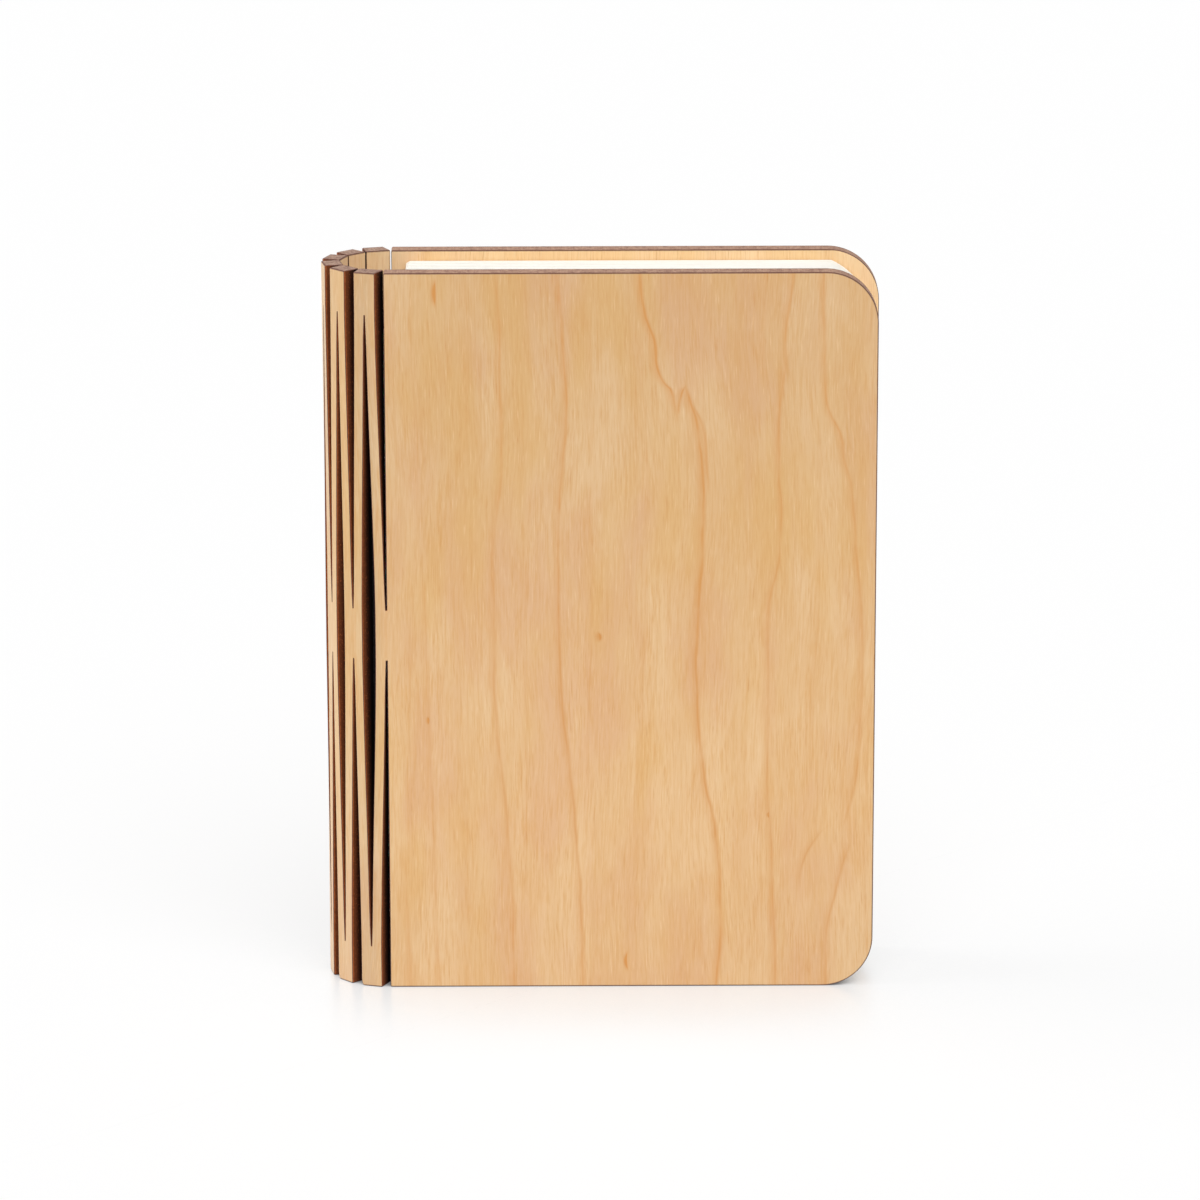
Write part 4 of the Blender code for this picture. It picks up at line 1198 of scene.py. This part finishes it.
@dataclass
class PleatedPages:
    """One sheet of paper: glued to both covers, and pleated into eleven leaves between them."""

    plan: SheetPlan
    finishes: Finishes
    width: float = 75.9 * MM
    spine_inset: float = 3.3 * MM
    head_inset: float = 1.7 * MM
    paper: float = 0.27 * MM
    outer_fold: float = 0.27 * MM
    inner_fold: float = 0.2 * MM
    corner_radius: float = 12.0 * MM
    corner_kink: float = math.radians(25.0)
    glue_gap: float = 0.3 * MM
    endpaper: float = 0.25 * MM
    fold_steps: int = 4
    corner_steps: int = 12
    panel_steps: int = 16
    spine_corner: float = 0.9 * MM
    spine_steps: int = 5

    def __post_init__(self) -> None:
        """Work out the lines that the panels share."""
        origins = {side: self.plan.blocks[side.board].frame.translation for side in Side}
        off = self.plan.ply / 2 + self.glue_gap + self.endpaper
        self.left = origins[Side.FRONT].x + self.spine_inset
        self.right = self.left + self.width
        self.edges = {side: spot.y - side.outward * off for side, spot in origins.items()}
        self.carriers = self.plan.names[1:-1]
        self.pitch = (self.edges[Side.BACK] - self.edges[Side.FRONT]) / len(self.carriers)
        run = self.corner_radius * (math.cos(self.corner_kink) - math.sin(self.corner_kink))
        self.corner_start = self.right - run

    def head(self, x: float) -> float:
        """Height of the paper's top edge: level, then falling round the cut fore-edge corner."""
        level = self.plan.height - self.head_inset
        short = self.left + self.spine_corner - x
        if short > 0:
            radius, across, drop = self.spine_corner, short, self.spine_corner
        elif x > self.corner_start:
            radius = self.corner_radius
            across = x - self.corner_start + radius * math.sin(self.corner_kink)
            drop = radius * math.cos(self.corner_kink)
        else:
            return level
        return level - drop + math.sqrt(max(0.0, radius ** 2 - across ** 2))

    def columns(self, start: float, stop: float) -> list[float]:
        """X of the points along a straight panel, close together round the cut corner."""
        turn = self.left + self.spine_corner
        return (steps_between(start, self.corner_start, self.corner_steps)
                + steps_between(self.corner_start, turn, self.panel_steps)
                + steps_between(turn, stop, self.spine_steps) + [stop])

    def make_ribbon(self, name: str, line: Ring) -> Piece:
        """A wall of paper that stands on a line in plan, with the sheet's head and foot profile."""
        rings = []
        for number, point in enumerate(line):
            before, after = line[max(0, number - 1)], line[min(len(line) - 1, number + 1)]
            along = (after - before).normalized()
            aside = Vector((-along.y, along.x, 0)) * self.paper / 2
            high = self.head(point.x)
            ends = (self.plan.height - high, high)
            rings.append([Vector((*(point + aside * side).xy, ends[end]))
                          for side, end in ((-1, 0), (-1, 1), (1, 1), (1, 0))])
        return smoothed(lofted(name, rings, (self.finishes.paper,)), 50.0)

    def panel_line(self, y: float, side: int, inner_y: float) -> Ring:
        """Middle line of a panel, from the outer fold's crest to the inner fold's."""
        out = Vector((self.right - self.outer_fold - self.paper / 2, y, 0))
        inn = Vector((self.left + self.inner_fold + self.paper / 2, inner_y, 0))
        first = arc(out, self.outer_fold, 0, 90 * side, self.fold_steps)
        last = arc(inn, self.inner_fold, -90 * side, -180 * side, self.fold_steps)
        start, stop = first[-1], last[0]
        straight = [start.lerp(stop, (x - start.x) / (stop.x - start.x))
                    for x in self.columns(start.x, stop.x)[1:-1]]
        return first + straight + last

    def make_panel(self, number: int, side: Side) -> None:
        """Make one panel of a leaf, from its outer fold to its inner fold by the next one on that
        side.
        """
        y = self.edges[Side.FRONT] + self.pitch * (number - 0.5)
        own, neighbour = self.carriers[number - 1], self.plan.names[number + side.outward]
        inner_y, far = y + side.outward * self.pitch / 2, 2 * self.left - self.right
        if neighbour == side.board:
            inner_y = self.edges[side] - side.outward * (self.inner_fold - self.endpaper / 2)
            far = self.left
        line = self.panel_line(y, side.outward, inner_y)
        piece = self.make_ribbon(f"leaf_{number:02d}_{side.value}_panel", line)
        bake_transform(piece)
        keep(piece, "pleated_paper", own, f"page_{number:02d}", blended=True)

    def make_endpaper(self, side: Side) -> None:
        """Make the end of the sheet that is glued to a cover, up to its fold beside the spine."""
        y = self.edges[side] + side.outward * self.endpaper / 2
        fold = Vector((self.left + self.inner_fold + self.paper / 2,
                       y - side.outward * self.inner_fold, 0))
        last = arc(fold, self.inner_fold, 90 * side.outward, 180 * side.outward, self.fold_steps)
        straight = [self.right, *self.columns(self.right - self.paper, last[0].x)[:-1]]
        line = [Vector((x, y, 0)) for x in straight] + last
        piece = self.make_ribbon(f"{side.value}_endpaper_sheet", line)
        keep(piece, "pleated_paper", side.board, f"{side.value}_endpaper")

    def make(self) -> None:
        """Make the whole sheet."""
        for side in Side:
            self.make_endpaper(side)
        for number in range(1, len(self.carriers) + 1):
            for side in Side:
                self.make_panel(number, side)


class Shape(Enum):
    """What a row of small fittings is made of."""

    BLOCK = "block"
    DOME = "dome"


@dataclass(frozen=True)
class Row:
    """A row of equal small fittings, made by Geometry Nodes."""

    name: str
    shape: Shape
    count: int
    start: Vector
    step: Vector
    size: Vector
    material: Material
    rounding: float = 0.0
    segments: int = 24

    def fitting(self, nodes: Nodes, size: Value) -> Value:
        """Add the nodes of one fitting."""
        if self.shape is Shape.BLOCK:
            return nodes.value("GeometryNodeMeshCube", {"Size": size})
        ball = nodes.value("GeometryNodeMeshUVSphere", {
            "Segments": self.segments, "Rings": self.segments // 2, "Radius": 0.5})
        squashed = nodes.value("GeometryNodeTransform", {"Geometry": ball, "Scale": size})
        return nodes.value("GeometryNodeSetShadeSmooth", {"Geometry": squashed})

    def tree(self) -> bpy.types.GeometryNodeTree:
        """Build the node tree: one fitting set on each point of a line."""
        tree = bpy.data.node_groups.new(f"row_of_{self.shape.value}s", "GeometryNodeTree")
        for label, kind in (("Count", "Int"), ("Start", "Vector"), ("Step", "Vector"),
                            ("Size", "Vector"), ("Material", "Material")):
            tree.interface.new_socket(label, in_out="INPUT", socket_type=f"NodeSocket{kind}")
        tree.interface.new_socket("Geometry", in_out="OUTPUT", socket_type="NodeSocketGeometry")
        nodes = Nodes(tree)
        outputs = nodes.add("NodeGroupInput").outputs
        given = {output.name: Value(nodes, output) for output in outputs if output.name}
        line = nodes.value("GeometryNodeMeshLine", {
            "Count": given["Count"], "Start Location": given["Start"], "Offset": given["Step"]},
            mode="OFFSET")
        fitting = self.fitting(nodes, given["Size"])
        spread = nodes.value("GeometryNodeInstanceOnPoints", {"Points": line, "Instance": fitting})
        real = nodes.value("GeometryNodeRealizeInstances", {0: spread})
        dressed = nodes.value("GeometryNodeSetMaterial", {
            "Geometry": real, "Material": given["Material"]})
        nodes.add("NodeGroupOutput", {0: dressed})
        return tree

    def make(self) -> Piece:
        """Make the row as a plain mesh."""
        piece = linked(self.name, bpy.data.meshes.new(self.name))
        nodes = piece.modifiers.new("row", "NODES")
        nodes.node_group = self.tree()
        for item in nodes.node_group.interface.items_tree:
            if item.in_out == "INPUT":
                value = getattr(self, item.name.lower())
                nodes[item.identifier] = value[:] if isinstance(value, Vector) else value
        baked(piece)
        return bevelled(piece, self.rounding) if self.rounding else piece


def prism(name: str, plan: Plan, low: float, high: float, material: Material) -> Piece:
    """An upright solid from its outline in X and Y."""
    rings = [[Vector((x, y, z)) for x, y in plan] for z in (low, high)]
    return lofted(name, rings, (material,))


@dataclass
class LightBar:
    """The slim lamp in the spine: shells, board, lamps, battery and socket."""

    finishes: Finishes
    body: str = "bridge_block_4"
    width: float = 10.4 * MM
    wall: float = 0.7 * MM
    back_chamfer: float = 1.2 * MM
    front_chamfer: float = 2.2 * MM
    rounding: float = 0.25 * MM
    cap_rounding: float = 0.2 * MM
    lamps: int = 12
    lamp: Size = (0.6, 2.8, 3.5)
    phosphor: Size = (0.3, 2.2, 2.2)
    phosphor_sunk: float = 0.05 * MM
    solder: Size = (0.3, 2.0, 0.8)
    solder_lift: float = 0.08 * MM
    solder_gap: float = 0.25 * MM
    tape: float = 0.2 * MM
    socket_wall: float = 0.3 * MM
    socket_lip: float = 0.08 * MM
    socket_depth: float = 4.6 * MM
    socket_reach: float = 0.3 * MM
    slot_overrun: float = 1 * MM
    tongue: Size = (0.3, 1.2, 0.7)
    contacts: int = 6
    contact: Size = (0.7, 0.25, 2.0)
    contact_pitch: float = 0.6 * MM
    contact_height: float = 2.2 * MM
    leg: Span = (0.2 * MM, 0.6 * MM)
    leg_share: float = 0.45
    chips: tuple[tuple[str, int], ...] = (
        ("charger_chip", 4), ("driver_chip", 4), ("magnet_sensor", 2))
    seam: float = 0.35 * MM
    seam_gaps: Size = (0.5, 0.6, 1.4)
    pouch_short: float = 1.2 * MM
    head_tape: Size = (0.15, 0.4, 2.2)
    pad: Size = (0.16, 0.9, 1.4)
    pads: int = 5
    pad_place: Size = (-0.02, 1.6, 8.0)
    pad_pitch: float = 1.3 * MM
    oval_steps: int = 12
    foam_steps: int = 8
    foam_waist: float = 0.05
    foam_round: float = 0.2 * MM
    pouch_round: float = 0.6 * MM
    chip_round: float = 0.15 * MM
    lamp_round: float = 0.12 * MM
    plate_round: float = 0.1 * MM
    tape_round: float = 0.05 * MM
    leg_round: float = 0.03 * MM

    def add(self, piece: Piece, slot: str, *nodes: str) -> None:
        """Let a finished piece ride on the bar's body in place of its CAD nodes."""
        keep(piece, slot, self.body, *nodes)

    def add_row(self, slot: str, name: str, shape: Shape, count: int, start: Vector, step: Vector,
                size: Vector, material: Material, rounding: float = 0.0) -> None:
        """Make a row of small fittings; the arguments after the slot are those of the row."""
        self.add(Row(name, shape, count, start, step, size, material, rounding).make(), slot)

    def slab(self, name: str, low: Vector, high: Vector, material: Material,
             rounding: float, segments: int = 2) -> Piece:
        """A box between two corners, with rounded edges."""
        plan = [(low.x, low.y), (high.x, low.y), (high.x, high.y), (low.x, high.y)]
        return bevelled(prism(name, plan, low.z, high.z, material), rounding, segments)

    def end(self, inset: float, chamfer: float, face: float, toward: float) -> Plan:
        """Plan points of one end of the bar's section, from +Y round to -Y."""
        half = self.width / 2 - inset
        leg = chamfer - inset * (2 - math.sqrt(2))
        flat = face + toward * inset
        return [(flat + toward * leg, half), (flat, half - leg), (flat, leg - half),
                (flat + toward * leg, -half)]

    def make_shell(self, node: str, chamfer: float, toward: float, material: Material,
                   slot: str) -> None:
        """Make one half of the bar's shell, open at its parting line."""
        low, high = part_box(node)
        face, parting = (low.x, high.x) if toward > 0 else (high.x, low.x)
        half, wall = self.width / 2, self.wall
        outer, inner = (self.end(inset, chamfer, face, toward) for inset in (0, wall))
        plan = [(parting, half), *outer, (parting, -half), (parting, wall - half), *inner[::-1],
                (parting, half - wall)]
        piece = prism(f"{node}_shell", plan, low.z, high.z, material)
        self.add(smoothed(bevelled(piece, self.rounding, 3), 40.0), slot, node)

    def make_cap(self, node: str, hole: tuple[Vector, Vector] | None) -> None:
        """Make one cap, with a slot for the socket where a box is given."""
        low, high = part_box(node)
        plan = self.end(0, self.back_chamfer, low.x, 1)
        plan += self.end(0, self.front_chamfer, high.x, -1)[::-1]
        black = self.finishes.black_plastic
        piece = bevelled(prism(f"{node}_plate", plan, low.z, high.z, black), self.cap_rounding, 3)
        if hole:
            size = hole[1] - hole[0] + 2 * Vector((self.socket_reach, self.socket_reach, 0))
            ends = ((hole[0].z - self.slot_overrun, 0.0), (high.z + self.slot_overrun, 0.0))
            cut_out(piece, self.oval("slot", (hole[0] + hole[1]) / 2, size, ends, black))
        self.add(smoothed(piece, 35.0), "black_plastic", node)

    def oval(self, name: str, centre: Vector, size: Vector, stations: Sequence[Span],
             material: Material) -> Piece:
        """A solid whose section is a slot with round ends.

        Args:
            name: the object's name.
            centre: its centre in plan.
            size: its reach along X and Y.
            stations: heights, each with an inset all round.
            material: its material.

        Returns:
            The object.
        """
        rings = []
        for z, inset in stations:
            ring: Ring = []
            for end, start in ((1, 0), (-1, 180)):
                spot = Vector((centre.x, centre.y + end * (size.y - size.x) / 2, z))
                ring += arc(spot, size.x / 2 - inset, start, start + 180, self.oval_steps)
            rings.append(ring)
        return lofted(name, rings, (material,))

    def make_socket(self) -> None:
        """Make the charging socket: a drawn steel shell, its mouth down, with a tongue in it."""
        low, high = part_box("charging_socket")
        centre, size, made = (low + high) / 2, high - low, self.finishes
        wall, lip, mouth = self.socket_wall, self.socket_lip, low.z + self.socket_depth
        stations = ((mouth, wall), (low.z + lip, wall), (low.z, wall - lip), (low.z, lip),
                    (low.z + lip, 0.0), (high.z - lip, 0.0), (high.z, lip))
        shell = self.oval("charging_socket_shell", centre, size, stations, made.steel)
        self.add(smoothed(shell, 30.0), "socket_steel", "charging_socket")
        half_deep, beside, raised = (number * MM for number in self.tongue)
        reach = Vector((half_deep, size.y / 2 - beside, 0))
        foot, head = centre - reach, centre + reach
        foot.z, head.z = low.z + raised, mouth
        tongue = self.slab("charging_socket_tongue", foot, head, made.epoxy, self.plate_round)
        self.add(tongue, "chip_epoxy")
        first = -self.contact_pitch * (self.contacts - 1) / 2
        start = Vector((centre.x, centre.y + first, low.z + self.contact_height))
        self.add_row("socket_steel", "charging_socket_contacts", Shape.BLOCK, self.contacts, start,
                     INTO * self.contact_pitch, mm(*self.contact), made.solder)

    def make_lamps(self) -> None:
        """Make the strip: a tape, and a row of small lamps with their phosphor and solder."""
        low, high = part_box("led_strip")
        made, lamp = self.finishes, mm(*self.lamp)
        step = UP * ((high.z - low.z) / self.lamps)
        face = low.x + self.tape
        tape = self.slab("led_tape", low, Vector((face, high.y, high.z)), made.board,
                         self.tape_round)
        self.add(tape, "circuit_board", "led_strip")
        middle = Vector((face, (low.y + high.y) / 2, low.z + step.z / 2))
        dome, solder, lift = mm(*self.phosphor), mm(*self.solder), ACROSS * self.solder_lift
        shift = UP * (lamp.z / 2 + self.solder_gap)
        for name, shape, spot, *rest in (
                ("packages", Shape.BLOCK, ACROSS * lamp.x / 2, lamp, made.lamp_white,
                 self.lamp_round),
                ("phosphor_domes", Shape.DOME, ACROSS * (lamp.x - self.phosphor_sunk), dome,
                 made.phosphor),
                ("solder_foot", Shape.DOME, lift - shift, solder, made.solder),
                ("solder_head", Shape.DOME, lift + shift, solder, made.solder)):
            self.add_row("led_resin", f"led_{name}", shape, self.lamps, middle + spot, step, *rest)

    def make_chip(self, node: str, legs: int) -> None:
        """Make one chip: a moulded body with a row of tinned legs on both sides."""
        low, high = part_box(node)
        made = self.finishes
        package = self.slab(f"{node}_package", low, high, made.epoxy, self.chip_round)
        self.add(package, "chip_epoxy", node)
        gap = (high.z - low.z) / legs
        size = Vector((*self.leg, gap * self.leg_share))
        for label, y in (("left", low.y), ("right", high.y)):
            start = Vector((high.x - size.x / 2, y, low.z + gap / 2))
            self.add_row("socket_steel", f"{node}_legs_{label}", Shape.BLOCK, legs, start,
                         UP * gap, size, made.solder, self.leg_round)

    def make_battery(self) -> None:
        """Make the flat cell: a soft foil pouch, its folded side seams, and tape round its head."""
        low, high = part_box("battery_cell")
        made, side = self.finishes, INTO * self.seam
        pouch = self.slab("battery_pouch", low + side, high - side - UP * self.pouch_short,
                          made.battery, self.pouch_round, 4)
        self.add(smoothed(pouch, 60.0), "battery_film", "battery_cell")
        sunk, foot_gap, head_gap = (number * MM for number in self.seam_gaps)
        for label, y in (("left", low.y), ("right", high.y - self.seam)):
            foot = Vector((low.x + sunk, y, low.z + foot_gap))
            head = Vector((high.x - sunk, y + self.seam, high.z - head_gap))
            fold = self.slab(f"battery_seam_{label}", foot, head, made.battery, self.plate_round)
            self.add(fold, "battery_film")
        sunk, beside, tall = (number * MM for number in self.head_tape)
        foot = Vector((low.x + sunk, low.y + beside, high.z - tall))
        band = self.slab("battery_head_tape", foot, high - Vector((sunk, beside, 0)), made.tape,
                         self.rounding, 3)
        self.add(band, "battery_film")

    def make_board(self) -> None:
        """Make the board, and a row of solder pads by the socket."""
        low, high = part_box("circuit_board")
        made = self.finishes
        board = self.slab("board_plate", low, high, made.board, self.plate_round)
        self.add(board, "circuit_board", "circuit_board")
        self.add_row("circuit_board", "board_pads", Shape.DOME, self.pads,
                     low + mm(*self.pad_place), INTO * self.pad_pitch, mm(*self.pad), made.solder)

    def make_foam(self) -> None:
        """Make the foam pad, slightly waisted as if pressed between the spine and the bar."""
        low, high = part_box("foam_pad")
        source = plan_corners("foam_pad")
        centre = sum(source, Vector()) / len(source)
        rings = []
        for step in range(self.foam_steps + 1):
            share = step / self.foam_steps
            waist = 1 - self.foam_waist * math.sin(math.pi * share)
            z = UP * (low.z + (high.z - low.z) * share)
            rings.append([centre + (point - centre) * waist + z for point in source])
        piece = lofted("foam_pad_block", rings, (self.finishes.foam,))
        self.add(bevelled(piece, self.foam_round), "foam", "foam_pad")

    def dress_leads(self, nodes: dict[str, Piece]) -> None:
        """Give the two leads their insulation."""
        made = self.finishes
        for node, finish in (("negative_lead", made.black_lead), ("positive_lead", made.red_lead)):
            mesh = nodes[node].data
            mesh.materials.clear()
            mesh.materials.append(finish)

    def make(self, nodes: dict[str, Piece]) -> None:
        """Make the whole bar."""
        made = self.finishes
        self.make_shell("light_bar_base", self.back_chamfer, 1, made.black_plastic,
                        "black_plastic")
        self.make_shell("diffuser", self.front_chamfer, -1, made.frosted, "frosted_cover")
        self.make_cap("top_cap", None)
        self.make_cap("bottom_cap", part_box("charging_socket"))
        self.make_socket()
        self.make_board()
        self.make_lamps()
        for node, legs in self.chips:
            self.make_chip(node, legs)
        self.make_battery()
        self.make_foam()
        self.dress_leads(nodes)


def plan_corners(node: str) -> Ring:
    """Plan corners of an upright CAD node with four sides, in order round it."""
    near = 0.001 * MM
    low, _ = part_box(node)
    seen: Ring = []
    for vertex in bpy.data.objects[node].data.vertices:
        point = Vector((vertex.co.x, vertex.co.y, 0))
        if abs(vertex.co.z - low.z) < near and all((point - other).length > near for other in seen):
            seen.append(point)
    centre = sum(seen, Vector()) / len(seen)
    return sorted(seen, key=lambda point: math.atan2(point.y - centre.y, point.x - centre.x))


def seen_by(nodes: Nodes, *rays: str) -> Value:
    """1 for the named kinds of ray, and 0 for all others."""
    path = nodes.add("ShaderNodeLightPath").outputs
    return reduce(Value.at_least, [Value(nodes, path[f"Is {ray} Ray"]) for ray in rays])


@dataclass
class Studio:
    """Plain pale floor, soft light and the camera of the photograph."""

    camera_place: Size = (-6.15 * MM, -1011.67 * MM, 342.05 * MM)
    pitch: float = 15.36
    yaw: float = 0.33
    roll: float = -0.09
    lens: float = 189.4
    sensor: float = 36.0
    clip: Span = (0.05, 100.0)
    floor_size: float = 30.0
    floor_drop: float = 0.02 * MM
    floor_clouds: Pattern = Pattern((400, 400, 400), 0, 1.0)
    floor_grey: Tint = (0.2, 0.2, 0.2, 1.0)
    floor_glow: float = 0.75
    contact_reach: float = 40 * MM
    contact_dim: float = -0.03
    contact_gloss: float = 0.21
    gloss_roughness: float = 0.25
    white: Tint = (1.0, 1.0, 1.0, 1.0)
    ambient: float = 0.34
    key: float = 2.5
    fill: float = 2.4
    lamp_spread: float = 50.0

    def make_camera(self) -> None:
        """Set up the camera."""
        data = bpy.data.cameras.new("camera")
        data.lens, data.sensor_width = self.lens, self.sensor
        data.clip_start, data.clip_end = self.clip
        stand = Matrix.Translation(self.camera_place)
        for axis, degrees in (("Z", -self.yaw), ("X", 90 - self.pitch), ("Z", self.roll)):
            stand @= Matrix.Rotation(math.radians(degrees), 4, axis)
        camera = bpy.data.objects.new("camera", data)
        camera.matrix_world = stand
        bpy.context.scene.collection.objects.link(camera)
        bpy.context.scene.camera = camera

    def floor_finish(self) -> Material:
        """White to the camera, but for a soft contact shadow and a faint gloss by the lamp."""
        shade = Shade("floor_pale")
        tone = shade.ramp(self.floor_clouds.on(shade, shade.place()), 0.2, 0.8, 0.7, 0.74)
        shade.set(Base_Color=shade.join(tone, tone, tone), Roughness=0.9, Specular_IOR_Level=0.0)
        open_sky = shade.value("ShaderNodeAmbientOcclusion", {"Distance": self.contact_reach},
                               "AO", samples=12)
        near = shade.ramp(open_sky, 0.55, 1.0, 1.0, 0.0)
        level = near * self.contact_dim + self.floor_glow
        level = level * shade.ramp(open_sky, 0.08, 0.5, 0.15, 1.0)
        grey = shade.value("ShaderNodeBsdfDiffuse", {"Color": self.floor_grey})
        bright = shade.value("ShaderNodeEmission", {"Color": self.white, "Strength": level})
        lit = shade.value("ShaderNodeAddShader", {0: grey, 1: bright})
        gloss = shade.value("ShaderNodeBsdfAnisotropic",
                            {"Color": self.white, "Roughness": self.gloss_roughness})
        seen = shade.value("ShaderNodeMixShader", {0: near * self.contact_gloss, 1: lit, 2: gloss})
        plain = Value(shade, shade.surface.outputs[0])
        mixed = shade.value("ShaderNodeMixShader", {
            0: seen_by(shade, "Camera", "Glossy"), 1: plain, 2: seen})
        shade.feed(shade.tree.nodes["Material Output"].inputs["Surface"], mixed)
        return shade.material

    def make_floor(self) -> None:
        """Lay the floor."""
        half = self.floor_size / 2
        bm = bmesh.new()
        bm.faces.new([bm.verts.new((x * half, y * half, -self.floor_drop))
                      for x, y in ((-1, -1), (1, -1), (1, 1), (-1, 1))])
        mesh = bpy.data.meshes.new("floor")
        bm.to_mesh(mesh)
        bm.free()
        mesh.materials.append(self.floor_finish())
        linked("floor", mesh)

    def make_world(self) -> None:
        """Surround the lamp with even light; the camera and gloss see plain white."""
        world = bpy.data.worlds.new("studio")
        bpy.context.scene.world = world
        world.use_nodes = True
        nodes = Nodes(world.node_tree)
        seen = seen_by(nodes, "Camera", "Transmission", "Glossy")
        level = nodes.value("ShaderNodeMapRange", {"Value": seen, "To Min": self.ambient})
        background = world.node_tree.nodes["Background"]
        nodes.feed(background.inputs["Color"], self.white)
        nodes.feed(background.inputs["Strength"], level)

    def make_lamp(self, name: str, place: Vector, strength: float) -> None:
        """Hang one soft lamp far off, with parallel light that comes from the side of place."""
        data = bpy.data.lights.new(name, "SUN")
        data.angle, data.energy = math.radians(self.lamp_spread), strength
        lamp = bpy.data.objects.new(name, data)
        lamp.location = place
        lamp.rotation_mode = "QUATERNION"
        lamp.rotation_quaternion = (-place).to_track_quat("-Z", "Y")
        bpy.context.scene.collection.objects.link(lamp)

    def make(self) -> None:
        """Set up the whole studio."""
        bpy.context.scene.view_settings.view_transform = "Standard"
        self.make_camera()
        self.make_floor()
        self.make_world()
        self.make_lamp("key_light", Vector((0.3, -1.05, 1.75)), self.key)
        self.make_lamp("left_fill", Vector((-1.6, 0.15, 0.45)), self.fill)
        log.info("studio made")


def main() -> None:
    """Build the lamp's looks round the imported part."""
    logging.basicConfig(level=logging.INFO, format="%(message)s")
    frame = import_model()
    finishes = Finishes()
    plan = SheetPlan(frame["joints"])
    for side in Side:
        Cover(plan, finishes, side).make()
    Lattice(plan, finishes).make()
    PleatedPages(plan, finishes).make()
    LightBar(finishes).make(frame["nodes"])
    Studio().make()


if __name__ == "__main__":
    main()
